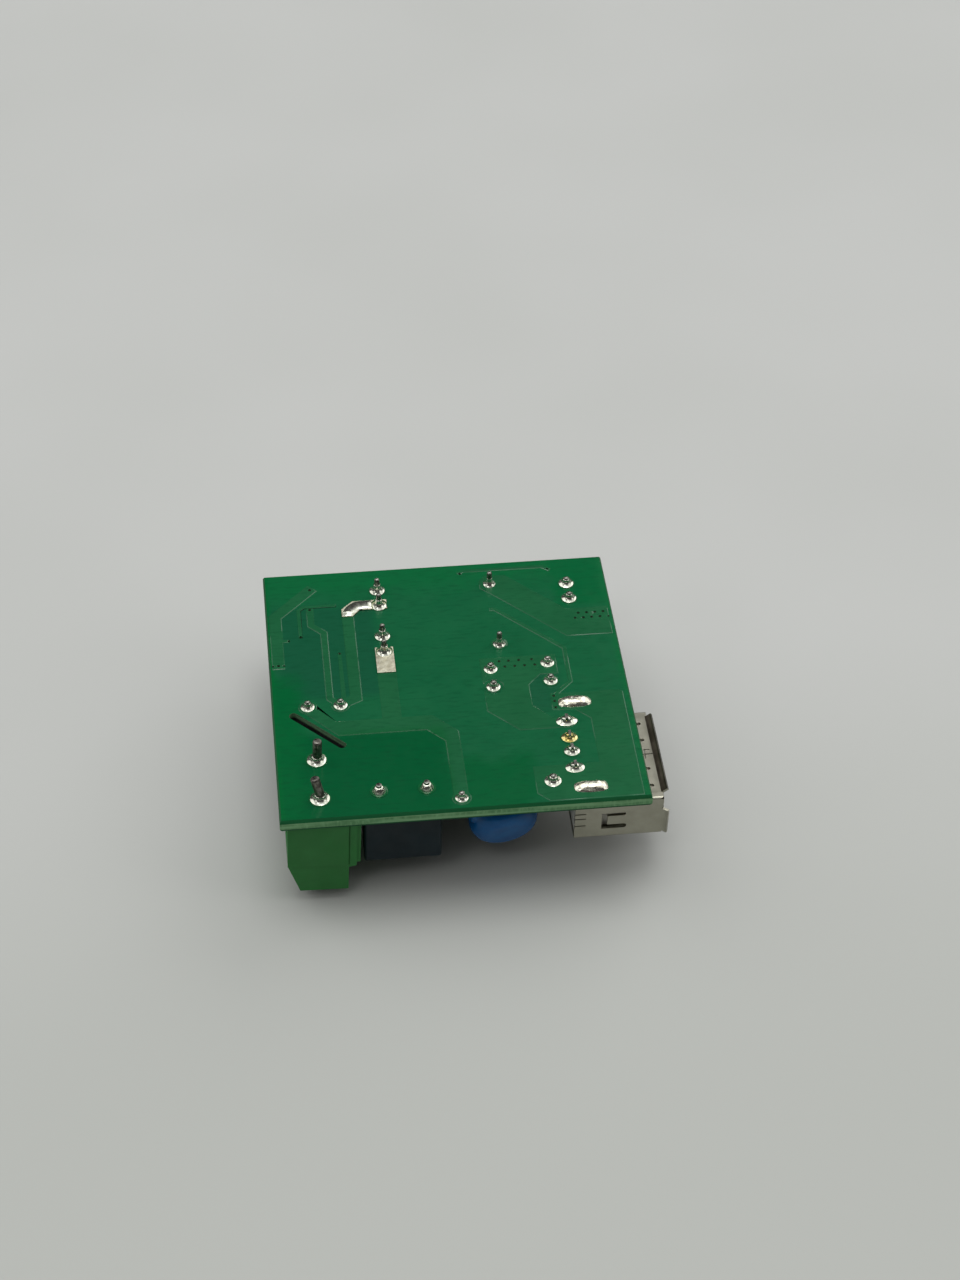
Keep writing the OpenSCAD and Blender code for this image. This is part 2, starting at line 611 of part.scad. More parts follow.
module fuse_case() color("#23262b") hang(fuse_at) translate([fuse_shift, 0, fuse_stand]) difference() {
    chamfered_box([fuse_l, fuse_w, fuse_h - fuse_stand], 0.25);
    translate([0, 0, -CUT]) linear_extrude(height = fuse_h - fuse_stand - fuse_wall + CUT)
        square([fuse_l - 2 * fuse_wall, fuse_w - 2 * fuse_wall], center = true);
}
module fuse_base() color("#2c3036") hang(fuse_at) difference() {
    translate([fuse_shift, 0, 0]) {
        translate([0, 0, fuse_stand + fuse_base_t / 2])
            cube([fuse_l - 2 * fuse_wall, fuse_w - 2 * fuse_wall, fuse_base_t], center = true);
        for (s = [-1, 1]) translate([s * (fuse_l / 2 - 1.1), 0, 0]) cylinder(d = 0.8, h = fuse_stand + EPS);
    }
    for (s = [-1, 1]) translate([s * fuse_pitch / 2, 0, -CUT])
        cylinder(d = lead_d, h = fuse_base_t + 2 * CUT);
}
fuse_link_z = 5;
fuse_link_d = 0.25;
module fuse_leads() color("silver") hang(fuse_at) difference() {
    for (s = [-1, 1]) translate([s * fuse_pitch / 2, 0, -pass_t - trimmed_lead_h])
        cylinder(d = lead_d, h = pass_t + trimmed_lead_h + fuse_link_z + 0.3);
    fuse_wire();
}
module fuse_wire() translate([-fuse_pitch / 2 - lead_d / 2, 0, fuse_link_z]) rotate([0, 90, 0])
    cylinder(d = fuse_link_d, h = fuse_pitch + lead_d, $fn = 16);
module fuse_link() color("#b8b39a") hang(fuse_at) fuse_wire();

// ---------------------------------------------------------------- suppression capacitor

disc_stand = 0.4;                        // gap between the disc and the board
disc_steps = 8;
// Half of the coated disc's outline: a flat face that rounds over into the rim
disc_outline = concat([[0, -disc_t / 2]],
    [for (i = [0:disc_steps]) let (a = 90 * i / disc_steps)
        [disc_d / 2 - disc_t * 0.42 * (1 - sin(a)), -disc_t / 2 * cos(a)]],
    [for (i = [1:disc_steps]) let (a = 90 * i / disc_steps)
        [disc_d / 2 - disc_t * 0.42 * (1 - cos(a)), disc_t / 2 * sin(a)]],
    [[0, disc_t / 2]]);
disc_middle = disc_stand + disc_d / 2;
disc_leg = disc_d * 0.42;                // where the leads leave the rim

module at_disc() hang(disc_at) rotate([0, 0, -disc_turn]) children();
module lean_disc() rotate([disc_lean, 0, 0]) children();

module suppression_disc() color("#1f7fc4") at_disc() difference() {
    lean_disc() {
        translate([0, 0, disc_middle]) rotate([90, 0, 0]) rotate_extrude() polygon(disc_outline);
        // coating that runs down each lead
        for (s = [-1, 1]) translate([s * disc_leg, 0, disc_stand + 0.9])
            cylinder(d1 = lead_d + 0.3, d2 = 1.6, h = 1.6);
    }
    disc_wires();
}
lead_bend = 1.2;                         // from the board to the last bend, along the disc
function disc_lead_at(s, l) = [s * disc_leg, -sin(disc_lean) * l, cos(disc_lean) * l];
module disc_wires() for (s = [-1, 1]) bent_wire([[s * disc_pitch / 2, 0, -pass_t - trimmed_lead_h],
    [s * disc_pitch / 2, 0, 0.3], disc_lead_at(s, lead_bend), disc_lead_at(s, disc_middle - 1.4)], lead_d);
module suppression_leads() color("silver") at_disc() disc_wires();

// ---------------------------------------------------------------- transformer

core_back = 1.75;                        // thickness of a core half's back and outer legs
core_leg = 3;                            // diameter of the middle leg
tape_t = 0.1;
core_stand = 0.5;                        // foot of the core above the board
core_top = transformer_h - tape_t;
core_bottom = core_stand + tape_t;
core_mid = (core_top + core_bottom) / 2;
flange_t = 0.6;
bobbin_gap = 0.15;
flange_low = core_bottom + core_back + bobbin_gap;
flange_high = core_top - core_back - bobbin_gap;
window = core_l / 2 - core_back;         // from the middle to an outer leg
winding_r = window - 0.55;
rail_w = 2.4;
rail_l = core_l - 0.8;
tube_r = core_leg / 2 + bobbin_gap;
tube_wall = 0.5;

module at_transformer() hang(transformer_at) children();

// One core half, with its back at z0 and its legs up to z1
module core_half(z0, z1) {
    s = sign(z1 - z0);
    difference() {
        translate([-core_w / 2, -core_l / 2, min(z0, z1)]) cube([core_w, core_l, abs(z1 - z0)]);
        translate([-core_w / 2 - CUT, -window, s > 0 ? z0 + core_back : z1 - CUT])
            cube([core_w + 2 * CUT, 2 * window, abs(z1 - z0) - core_back + CUT]);
    }
    translate([0, 0, min(z0, z1)]) cylinder(d = core_leg, h = abs(z1 - z0));
}
module transformer_core_lower() color("#33343a") at_transformer() core_half(core_bottom, core_mid);
module transformer_core_upper() color("#33343a") at_transformer() core_half(core_top, core_mid);

module bobbin_flange(z) translate([0, 0, z]) linear_extrude(height = flange_t) difference() {
    square([transformer_row - rail_w + 0.6, 2 * (window - bobbin_gap)], center = true);
    circle(r = tube_r);
}
module transformer_bobbin() color("#e8e4d8") at_transformer() difference() {
    union() {
        bobbin_flange(flange_low);
        bobbin_flange(flange_high - flange_t);
        translate([0, 0, flange_low]) linear_extrude(height = flange_high - flange_low) difference() {
            circle(r = tube_r + tube_wall);
            circle(r = tube_r);
        }
        for (s = [-1, 1]) translate([s * transformer_row / 2, 0, 0]) {
            translate([0, 0, core_stand / 2 + (flange_low + flange_t) / 2])
                cube([rail_w, rail_l, flange_low + flange_t - core_stand], center = true);
            // feet at the ends of the rail
            for (t = [-1, 1]) translate([-rail_w / 2, t * (rail_l / 2 - 0.8) - 0.8, 0])
                cube([rail_w, 1.6, core_stand + EPS]);
        }
    }
    both_pin_rows();
    // slots where the winding's ends come out to the pins
    for (s = [-1, 1]) for (k = [-0.25, 0.25]) translate([s * transformer_row / 2, k * primary_span,
        flange_low + flange_t]) cube([rail_w + 1, 0.8, 1], center = true);
}
module pin_row(points, s) for (p = points)
    translate([s * transformer_row / 2, p, -pass_t - long_lead_h])
        cylinder(d = lead_d, h = pass_t + long_lead_h + flange_low);
primary_offsets = [for (k = [1, 0.5, -0.5, -1]) -k * primary_span / 2];
secondary_offsets = [for (k = [1, -1]) k * secondary_span / 2];
module both_pin_rows() {
    pin_row(primary_offsets, -1);
    pin_row(secondary_offsets, 1);
}
module primary_pins() color("silver") at_transformer() pin_row(primary_offsets, -1);
module secondary_pins() color("silver") at_transformer() pin_row(secondary_offsets, 1);

winding_z = flange_low + flange_t + 0.05;
winding_h = flange_high - flange_t - 0.05 - winding_z;
// Copper layers between the flanges, each a shallow ridge
winding_layers = 9;
module transformer_winding() color("#b5682c") at_transformer() translate([0, 0, winding_z]) {
    pitch = winding_h / winding_layers;
    difference() {
        union() {
            cylinder(r = winding_r - pitch / 4, h = winding_h);
            for (i = [0:winding_layers - 1]) translate([0, 0, i * pitch + pitch / 4])
                cylinder(r = winding_r, h = pitch / 2);
        }
        translate([0, 0, -CUT]) cylinder(r = tube_r + tube_wall, h = winding_h + 2 * CUT);
    }
}
module winding_tape() color("#e6c24a") at_transformer() translate([0, 0, winding_z]) difference() {
    cylinder(r = winding_r + 2 * tape_t, h = winding_h);
    translate([0, 0, -CUT]) cylinder(r = winding_r, h = winding_h + 2 * CUT);
}
// Tape round the outside of both core halves
module core_tape() color("#e6c24a") at_transformer() difference() {
    translate([0, 0, (transformer_h + core_stand) / 2])
        cube([core_w - 1, core_l + 2 * tape_t, transformer_h - core_stand], center = true);
    translate([0, 0, core_mid]) cube([core_w, core_l, core_top - core_bottom], center = true);
}

// ---------------------------------------------------------------- electrolytic capacitors

can_stand = 0.3;
sleeve_t = 0.12;
crimp_z = 1.7;
crimp_depth = 0.35;
can_edge = 0.7;
sleeve_lip = 1;
arc_steps = 5;

// Outline of a can from its open foot to its closed end: rim, crimp, wall and rounded edge
function can_side(r, h) = concat(
    [[r - 0.15, can_stand], [r, can_stand + 0.15], [r, crimp_z - 0.5], [r - crimp_depth, crimp_z - 0.12],
     [r - crimp_depth, crimp_z + 0.12], [r, crimp_z + 0.5]],
    [for (i = [0:arc_steps]) let (a = 90 * i / arc_steps)
        [r - can_edge * (1 - cos(a)), h - can_edge * (1 - sin(a))]]);

seal_z = 1.5;
module can(d, h) {
    r = d / 2 - sleeve_t;
    difference() {
        rotate_extrude() polygon(concat([[0, can_stand]], can_side(r, h - sleeve_t), [[0, h - sleeve_t]]));
        translate([0, 0, can_stand - CUT]) cylinder(r = r - crimp_depth - 0.2, h = seal_z - can_stand + CUT);
        // vent scored across the closed end
        for (a = [45, -45]) rotate([0, 0, a]) translate([0, 0, h - sleeve_t])
            cube([d * 0.55, 0.3, 0.3], center = true);
    }
}
module sleeve(d, h) {
    outer = can_side(d / 2, h);
    inner = can_side(d / 2 - sleeve_t, h - sleeve_t);
    n = len(outer) - 1;
    lip = d / 2 - can_edge - sleeve_lip;
    rotate_extrude() polygon(concat(outer, [[lip, h], [lip, h - sleeve_t]],
        [for (i = [n:-1:0]) inner[i]]));
}
module seal(d, pitch) difference() {
    r = d / 2 - sleeve_t - crimp_depth - 0.2;
    union() {
        translate([0, 0, can_stand]) cylinder(r = r, h = seal_z - can_stand);
        for (a = [0, 90, 180, 270]) rotate([0, 0, a + 45]) translate([r - 0.9, 0, 0])
            cylinder(d = 0.9, h = can_stand + EPS);
    }
    capacitor_wires(pitch, 0);
}
module capacitor_wires(pitch, top) for (s = [-1, 1])
    translate([s * pitch / 2, 0, -pass_t - trimmed_lead_h])
        cylinder(d = lead_d, h = pass_t + trimmed_lead_h + seal_z + top);

module at_output(at) hang(at) rotate([0, 0, 90]) children();
can_colour = "#b9bec2";
sleeve_colour = "#2b2f3a";
seal_colour = "#26221f";

module bulk_can() color(can_colour) hang(bulk_at) can(bulk_d, bulk_h);
module bulk_sleeve() color(sleeve_colour) hang(bulk_at) sleeve(bulk_d, bulk_h);
module bulk_seal() color(seal_colour) hang(bulk_at) seal(bulk_d, bulk_pitch);
module bulk_leads() color("silver") hang(bulk_at) capacitor_wires(bulk_pitch, 0);
module output_can_left() color(can_colour) at_output(output_left_at) can(output_d, output_h);
module output_sleeve_left() color(sleeve_colour) at_output(output_left_at) sleeve(output_d, output_h);
module output_seal_left() color(seal_colour) at_output(output_left_at) seal(output_d, output_pitch);
module output_leads_left() color("silver") at_output(output_left_at) capacitor_wires(output_pitch, 0);
module output_can_right() color(can_colour) at_output(output_right_at) can(output_d, output_h);
module output_sleeve_right() color(sleeve_colour) at_output(output_right_at) sleeve(output_d, output_h);
module output_seal_right() color(seal_colour) at_output(output_right_at) seal(output_d, output_pitch);
module output_leads_right() color("silver") at_output(output_right_at) capacitor_wires(output_pitch, 0);

// ---------------------------------------------------------------- charging port

port_rear = -0.25;                       // rear of the shell, from the contacts
port_top = port_stand + port_h;
port_mid = port_stand + port_h / 2;
lip_angle = 38;
finger_w = 0.4;                          // width of the cut round a spring finger
side_arms = [0.42, 0.62];                // the same in the sides, towards and away from the board
side_back = 0.62;                        // the same behind the finger
side_lip_z = 0.6;                        // middle of a side lip, from the middle of the shell
side_finger_x = 2.67;                    // start of a side finger, from the shell's mounting point
side_finger_l = 2.4;
side_finger_w = 2.35;
seam_w = 0.12;
// Corner and size of each cut of the seam
seam_cuts = [[[port_rear - CUT, -seam_w / 2], [port_reach + 4 * CUT, seam_w]],
    [[port_reach - 1.15, -0.75], [seam_w, 1.4]], [[port_reach - 1.15, -0.75], [0.7, seam_w]]];
lip_overlap = 0.1;                       // how far back from the mouth a lip starts
frame_x = (port_at.x + port_reach - lip_overlap + port_lip * cos(lip_angle) + left_x) / 2;

module at_port() hang(port_at) children();

module port_box(inset, x0, x1) translate([x0, -port_w / 2 + inset, port_stand + inset])
    cube([x1 - x0, port_w - 2 * inset, port_h - 2 * inset]);

// A U-shaped cut of length l and width w that leaves a spring finger held at its +X end.
// Its two arms and its closed end have widths of their own.
module finger_cut(l, w, t, arms = [finger_w, finger_w], back = finger_w) {
    translate([0, -w / 2, -t / 2]) cube([back, w, t]);
    for (k = [0, 1]) translate([0, (2 * k - 1) * (w - arms[k]) / 2, -t / 2]) {
        translate([0, -arms[k] / 2, 0]) cube([l, arms[k], t]);
        translate([l, 0, 0]) cylinder(d = arms[k], h = t, $fn = 24);
    }
}

// One flared lip of length l, bent outwards along +Z from the edge at Z = 0
module lip(l) rotate([0, -lip_angle, 0]) translate([0, -l / 2, 0])
    cube([port_lip, l, port_wall]);

module port_shell() color("#c9c8c2") at_port() {
    difference() {
        port_box(0, port_rear, port_reach);
        port_box(port_wall, port_rear - CUT, port_reach + CUT);
        // window for the insulator's foot
        translate([port_rear - CUT, -foot_w / 2 - insulator_gap, port_stand - CUT])
            cube([foot_l + 0.1 + insulator_gap + CUT, foot_w + 2 * insulator_gap, port_wall + CUT + EPS]);
        // spring fingers in both sides
        for (s = [-1, 1]) translate([side_finger_x, s * port_w / 2, port_mid + 0.3]) rotate([90, 0, 0])
            finger_cut(side_finger_l, side_finger_w, 3 * port_wall, side_arms, side_back);
        // slits at the rear of both sides
        for (s = [-1, 1]) for (z = [-1, 0, 1.4]) translate([port_rear - CUT, s * port_w / 2 - port_wall,
            port_mid - 0.3 + z * 0.75]) cube([1.2 + CUT, 2 * port_wall, 0.14]);
        // spring fingers in the faces towards and away from the board
        for (z = [port_stand, port_top]) for (s = [-1, 1]) translate([port_reach - 4.4, s * 3.4, z])
            finger_cut(3.4, 2.9, 3 * port_wall);
        // seam where the folded sheet meets, with its dovetail
        for (cut = seam_cuts) translate([cut[0].x, cut[0].y, port_stand - CUT])
            cube([cut[1].x, cut[1].y, port_wall + CUT + EPS]);
    }
    // lips round the mouth
    translate([port_reach - lip_overlap, 0, 0]) {
        translate([0, 0, port_top - port_wall]) lip(10.6);
        translate([0, 0, port_stand + port_wall]) mirror([0, 0, 1]) lip(11.4);
        for (s = [-1, 1]) translate([0, s * (port_w / 2 - port_wall), port_mid + side_lip_z])
            rotate([-90 * s, 0, 0]) lip(3.4);
    }
    // tabs through the board
    for (s = [-1, 1]) translate([port_tab_x - port_tab_w / 2, s * (port_w - port_wall) / 2 - port_wall / 2,
        -pass_t - 0.35]) cube([port_tab_w, port_wall, pass_t + 0.35 + port_stand + 0.5]);
}

tongue_z = port_mid + 0.06;              // face of the tongue that carries the contacts
tongue_t = 1.84;
tongue_w = 11.1;
tongue_inset = 0.9;                      // from the mouth to the end of the tongue
contact_rise = 0.08;                     // how far a contact stands out of the tongue
insulator_gap = 0.06;
insulator_l = 2.3;
foot_w = 10;                             // foot of the insulator, out of the shell to the board
foot_l = 1.2;
module port_insulator() color("#e9e7e0") at_port() difference() {
    union() {
        port_box(port_wall + insulator_gap, port_rear + 0.1, insulator_l);
        translate([insulator_l - EPS, -tongue_w / 2, tongue_z])
            cube([port_reach - tongue_inset - insulator_l + EPS, tongue_w, tongue_t]);
        // foot below the shell's open rear, round the contacts
        translate([port_rear + 0.1, -foot_w / 2, 0]) cube([foot_l, foot_w, port_stand + port_wall + 0.3]);
    }
    port_contact_set();
}
module port_contact_set() for (y = port_contact_y) {
    translate([-contact_t / 2, -y - contact_w / 2, -pass_t - trimmed_lead_h + 0.1])
        cube([contact_t, contact_w, pass_t + trimmed_lead_h - 0.1 + tongue_z]);
    translate([-contact_t / 2, -y - contact_w / 2, tongue_z - contact_rise])
        cube([port_reach - 1.6, contact_w, contact_t]);
}
module port_contacts() color("#cfae56") at_port() port_contact_set();

// ---------------------------------------------------------------- indicator lamp

lamp_stand = 0.6;
flange_d = 3.8;
module at_lamp() hang(lamp_at) rotate([0, 0, 90]) children();
module lamp_lens() color("#c6372c") at_lamp() difference() {
    union() {
        translate([0, 0, lamp_stand]) intersection() {
            cylinder(d = flange_d, h = 1);
            translate([-flange_d, -flange_d / 2, 0]) cube([flange_d + flange_d / 2 - 0.3, flange_d, 1]);
        }
        translate([0, 0, lamp_stand]) cylinder(d = lamp_d, h = lamp_h - lamp_stand - lamp_d / 2);
        translate([0, 0, lamp_h - lamp_d / 2]) sphere(d = lamp_d);
    }
    lamp_wires();
}
module lamp_wires() for (s = [-1, 1])
    bent_wire([[s * lamp_pitch / 2, 0, -pass_t - trimmed_lead_h], [s * lamp_pitch / 2, 0, lamp_stand + 0.2]],
        lead_d);
module lamp_leads() color("silver") at_lamp() lamp_wires();

// ---------------------------------------------------------------- surface parts

// Block on Z = 0 whose sides are drawn in towards the top
module drafted_block(x, y, h, c) intersection() {
    rotate([90, 0, 0]) linear_extrude(height = y, center = true) polygon(drafted(x / 2, h, c));
    rotate([90, 0, 90]) linear_extrude(height = x, center = true) polygon(drafted(y / 2, h, c));
}
function drafted(x, h, c) = [[-x, 0], [x, 0], [x - c, h], [-x + c, h]];

// Moulded body, its sides drawn in above and below the mould line
mould_line = 0.55;                       // height of the mould line, as a share of the body's
module moulded_body(size, stand = 0.1, draft = 0.15) {
    line = mould_line * size.z;
    translate([0, 0, line]) {
        drafted_block(size.x, size.y, size.z - line, draft);
        mirror([0, 0, 1]) drafted_block(size.x, size.y, line - stand, draft);
    }
}

// Gull-wing lead from the body's side at X = x0 to the board at X = x1
module gull_lead(x0, x1, z, w, t) rotate([90, 0, 0]) linear_extrude(height = w, center = true)
    polygon([[x0, z + t], [x0, z], [x0 + 0.35, z], [x1 - 0.75, 0], [x1, 0], [x1, t],
        [x1 - 0.65, t], [x0 + 0.45, z + t]]);

bridge = [4.7, 6.2, 2.4];
bridge_pitch = 2.54;
chip = [3.9, 4.9, 1.5];
chip_pitch = 1.27;
diode = [4.4, 2.7, 2.2];
gull_t = 0.2;
bridge_land_x = bridge.x / 2 + 0.85;     // middle of a land, from the middle of its part
chip_land_x = chip.x / 2 + 0.7;
diode_land_x = diode.x / 2 - 0.2;

module at_surface(at, turn = 0) hang(at) rotate([0, 0, turn]) children();

module bridge_rectifier() color("#1d1e20") at_surface(bridge_at) moulded_body(bridge);
module bridge_leads() color("silver") at_surface(bridge_at) for (s = [0, 180]) rotate([0, 0, s])
    for (k = [-0.5, 0.5]) translate([0, k * bridge_pitch * 2, 0])
        gull_lead(bridge.x / 2, bridge.x / 2 + 1.2, mould_line * bridge.z - gull_t / 2, 0.8, gull_t);

module controller_chip() color("#1d1e20") at_surface(controller_at) difference() {
    moulded_body(chip);
    translate([-chip.x / 2 + 0.7, chip.y / 2 - 0.7, chip.z - 0.1]) cylinder(d = 0.5, h = 1);
}
module controller_leads() color("silver") at_surface(controller_at) for (s = [0, 180]) rotate([0, 0, s])
    for (k = [-1.5, -0.5, 0.5, 1.5]) translate([0, k * chip_pitch, 0])
        gull_lead(chip.x / 2, chip.x / 2 + 1.05, mould_line * chip.z - gull_t / 2, 0.42, gull_t);

// Leads that fold under a diode's body
module diode_body(at, turn) at_surface(at, turn) translate([0, 0, gull_t]) difference() {
    moulded_body(diode);
    for (s = [-1, 1]) translate([s * diode.x / 2, 0, 0]) cube([0.8, 2.2, 0.4], center = true);
}
module diode_leads(at, turn) color("silver") at_surface(at, turn) for (s = [0, 180]) rotate([0, 0, s])
    translate([diode.x / 2, 0, 0]) rotate([90, 0, 0]) linear_extrude(height = 1.5, center = true)
        polygon([[-1, 0], [0.3, 0], [0.3, 1.5], [0, 1.5], [0, 1.3], [0.1, 1.3], [0.1, gull_t], [-1, gull_t]]);
module output_diode() color("#1d1e20") diode_body(output_diode_at, 90);
module output_diode_leads() diode_leads(output_diode_at, 90);
module clamp_diode() color("#1d1e20") diode_body(clamp_diode_at, 0);
module clamp_diode_leads() diode_leads(clamp_diode_at, 0);

// Chip parts: place and turn
resistor = [3.1, 1.55, 0.55];
resistors = [[controller_at + [-4.3, 0], 90], [[controller_at.x - 3.4, depth(12.6)], 90],
    [[-6.2, 0], 90], [[-3.9, 0], 90], [[bridge_at.x + 4.2, depth(-4.6)], 0],
    [from_right(8.7, 14), 90], [from_right(8.7, 9), 90]];
ceramic = [3.1, 1.6, 1.1];
ceramics = [[[controller_at.x, depth(3.9)], 0], [[bridge_at.x, depth(-4.6)], 0],
    [[2.2, depth(-9)], 90], [[6, depth(-9)], 90]];
end_l = 0.5;
end_rim = 0.03;                          // how far an end stands round the body

module chip_bodies(places, size) for (p = places) at_surface(p[0], p[1])
    translate([0, 0, size.z / 2 + end_rim])
        cube([size.x - 2 * end_l, size.y - 2 * end_rim, size.z - 2 * end_rim], center = true);
module chip_ends(places, size) for (p = places) at_surface(p[0], p[1]) for (s = [-1, 1])
    translate([s * (size.x - end_l) / 2, 0, size.z / 2 + EPS]) cube([end_l, size.y, size.z], center = true);
module chip_resistors() color("#22242a") chip_bodies(resistors, resistor);
module chip_resistor_ends() color("silver") chip_ends(resistors, resistor);
module chip_capacitors() color("#a98f6b") chip_bodies(ceramics, ceramic);
module chip_capacitor_ends() color("silver") chip_ends(ceramics, ceramic);

// Lands of the surface parts on the board: place and size
function turned(v, a) = [v.x * cos(a) - v.y * sin(a), v.x * sin(a) + v.y * cos(a)];
function chip_lands(places, size) = [for (p = places) for (s = [-1, 1])
    [p[0] + turned([s * (size.x - end_l / 2) / 2, 0], p[1]),
     p[1] == 90 ? [size.y + 0.2, 1.1] : [1.1, size.y + 0.2]]];
function pair_lands(at, x, ys, size) = [for (s = [-1, 1]) for (y = ys) [at + [s * x, y], size]];
surface_lands = concat(
    chip_lands(resistors, resistor), chip_lands(ceramics, ceramic),
    pair_lands(bridge_at, bridge_land_x, [-bridge_pitch, bridge_pitch], [1.3, 1.2]),
    pair_lands(controller_at, chip_land_x, [for (k = [-1.5:1.5]) k * chip_pitch], [1.2, 0.6]),
    [for (s = [-1, 1]) [output_diode_at + [0, s * diode_land_x], [1.9, 1.6]]],
    [for (s = [-1, 1]) [clamp_diode_at + [s * diode_land_x, 0], [1.6, 1.9]]]);

// Mains from the terminals to the rectifier, from there to the bulk and suppression
// capacitors, and the output from its diode to its capacitors
power_w = 1.4;
bridge_lands = [for (s = [-1, 1]) for (t = [-1, 1]) bridge_at + [s * bridge_land_x, t * bridge_pitch]];
output_land = output_diode_at + [0, -diode_land_x];
power_tracks = [
    [terminal_pads[1], [terminal_pads[1].x + 2.2, terminal_pads[1].y], fuse_pads[0]],
    [terminal_pads[0], [terminal_pads[0].x + 2, bridge_lands[0].y], bridge_lands[0]],
    [fuse_pads[1], [bridge_lands[2].x, bridge_lands[2].y - 1.5], bridge_lands[2]],
    [bridge_lands[1], [bulk_pads[1].x, bulk_pads[1].y - 1.9], bulk_pads[1]],
    [bridge_lands[3], [disc_pads[0].x, bridge_lands[3].y - 2.7], disc_pads[0]],
    [output_land, [output_pads[2].x + 1.8, output_pads[2].y], output_pads[2], output_pads[0]]];
diode_pour = [from_right(5.25, 10.45), from_right(5.25, 8.2), output_diode_at + [-1.1, diode_land_x - 0.9],
    output_diode_at + [1.1, diode_land_x - 0.9], from_right(0.6, 8.2), from_right(0.6, 10.45)];
signal_tracks = [
    [controller_at + [chip_land_x, -1.5 * chip_pitch], controller_at + [chip_land_x, -3.6],
     ceramics[0][0] + [1.4, 0]],
    [controller_at + [-chip_land_x, 0.5 * chip_pitch], resistors[0][0] + [0, 1.4]],
    [controller_at + [-chip_land_x, 1.5 * chip_pitch], resistors[1][0] + [0, -1.4]],
    [controller_at + [chip_land_x, 1.5 * chip_pitch], clamp_diode_at + [diode_land_x, 0]]];

// ---------------------------------------------------------------- nodes

circuit_board();
solder_side_tracks();
component_side_tracks();
tinned_tracks();
terminal_solder();
fuse_solder();
capacitor_solder();
transformer_solder();
port_solder();
lamp_solder();
terminal_housing();
terminal_cages();
terminal_pins();
terminal_screw_front();
terminal_screw_back();
fuse_case();
fuse_base();
fuse_leads();
fuse_link();
suppression_disc();
suppression_leads();
transformer_bobbin();
transformer_core_lower();
transformer_core_upper();
transformer_winding();
winding_tape();
core_tape();
primary_pins();
secondary_pins();
bulk_can();
bulk_sleeve();
bulk_seal();
bulk_leads();
output_can_left();
output_sleeve_left();
output_seal_left();
output_leads_left();
output_can_right();
output_sleeve_right();
output_seal_right();
output_leads_right();
port_shell();
port_insulator();
port_contacts();
lamp_lens();
lamp_leads();
bridge_rectifier();
bridge_leads();
controller_chip();
controller_leads();
output_diode();
output_diode_leads();
clamp_diode();
clamp_diode_leads();
chip_resistors();
chip_resistor_ends();
chip_capacitors();
chip_capacitor_ends();
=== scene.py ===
"""Finishes, solder, soft edges and studio for a small mains supply board.

The board lies solder side up on its tallest components. Every piece is built round the
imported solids: copies of them with eased edges, solder grown on their pads, and the thin
things that the solids leave out, such as the stripe on a capacitor's sleeve.
"""

from __future__ import annotations

import logging
import math
from collections.abc import Callable, Iterable
from dataclasses import dataclass, field
from enum import Enum, IntEnum

import bmesh
import bpy
from mathutils import Matrix, Vector


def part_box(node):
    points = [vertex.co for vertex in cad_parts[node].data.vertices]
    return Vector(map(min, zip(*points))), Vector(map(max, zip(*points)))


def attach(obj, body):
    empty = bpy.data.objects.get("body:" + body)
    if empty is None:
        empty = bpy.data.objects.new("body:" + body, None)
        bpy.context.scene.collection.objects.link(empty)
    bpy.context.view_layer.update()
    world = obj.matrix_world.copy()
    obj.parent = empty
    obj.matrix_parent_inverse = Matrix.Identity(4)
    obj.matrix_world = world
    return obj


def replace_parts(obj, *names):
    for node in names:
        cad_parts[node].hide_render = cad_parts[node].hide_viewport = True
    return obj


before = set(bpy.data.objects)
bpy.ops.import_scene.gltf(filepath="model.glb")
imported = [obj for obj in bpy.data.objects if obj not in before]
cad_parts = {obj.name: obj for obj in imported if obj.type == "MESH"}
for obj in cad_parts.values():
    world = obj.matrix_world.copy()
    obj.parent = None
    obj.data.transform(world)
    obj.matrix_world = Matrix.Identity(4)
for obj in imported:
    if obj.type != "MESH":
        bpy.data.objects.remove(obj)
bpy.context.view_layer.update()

LOG = logging.getLogger("supply_board")
MM = 0.001
ROOT = "root"

# Noise lies round 0.5: patches turn over quickly in its middle, and gloss over more of it.
PATCH_TURN = (0.35, 0.65)
GLOSS_TURN = (0.3, 0.7)
NOISE_ROUGHNESS = 0.55

# Points of a solid nearer than this are one, and faces within this angle lie flat together.
WELD_MM = 0.0005
FLAT_DEG = 0.4
SAME_PLACE = 1e-6

# A wire's end is rounded by nearly its own radius.
TIP_MM = 0.28
TIP_SEGMENTS = 4

Colour = tuple[int, int, int]
Pair = tuple[float, float]
Triple = tuple[float, float, float]
BMesh = bmesh.types.BMesh
Material = bpy.types.Material
Mesh = bpy.types.Mesh
Piece = bpy.types.Object
Socket = bpy.types.NodeSocket
Value = Socket | float


# ---- node trees


def linear(colour: Colour) -> tuple[float, float, float, float]:
    """Turn an 8-bit screen colour into the linear colour that a shader takes.

    Args:
        colour: red, green and blue, each 0 to 255.

    Returns:
        Linear red, green, blue and an alpha of 1.
    """
    parts = [c / 255 for c in colour]
    out = [p / 12.92 if p <= 0.04045 else ((p + 0.055) / 1.055) ** 2.4 for p in parts]
    return out[0], out[1], out[2], 1.0


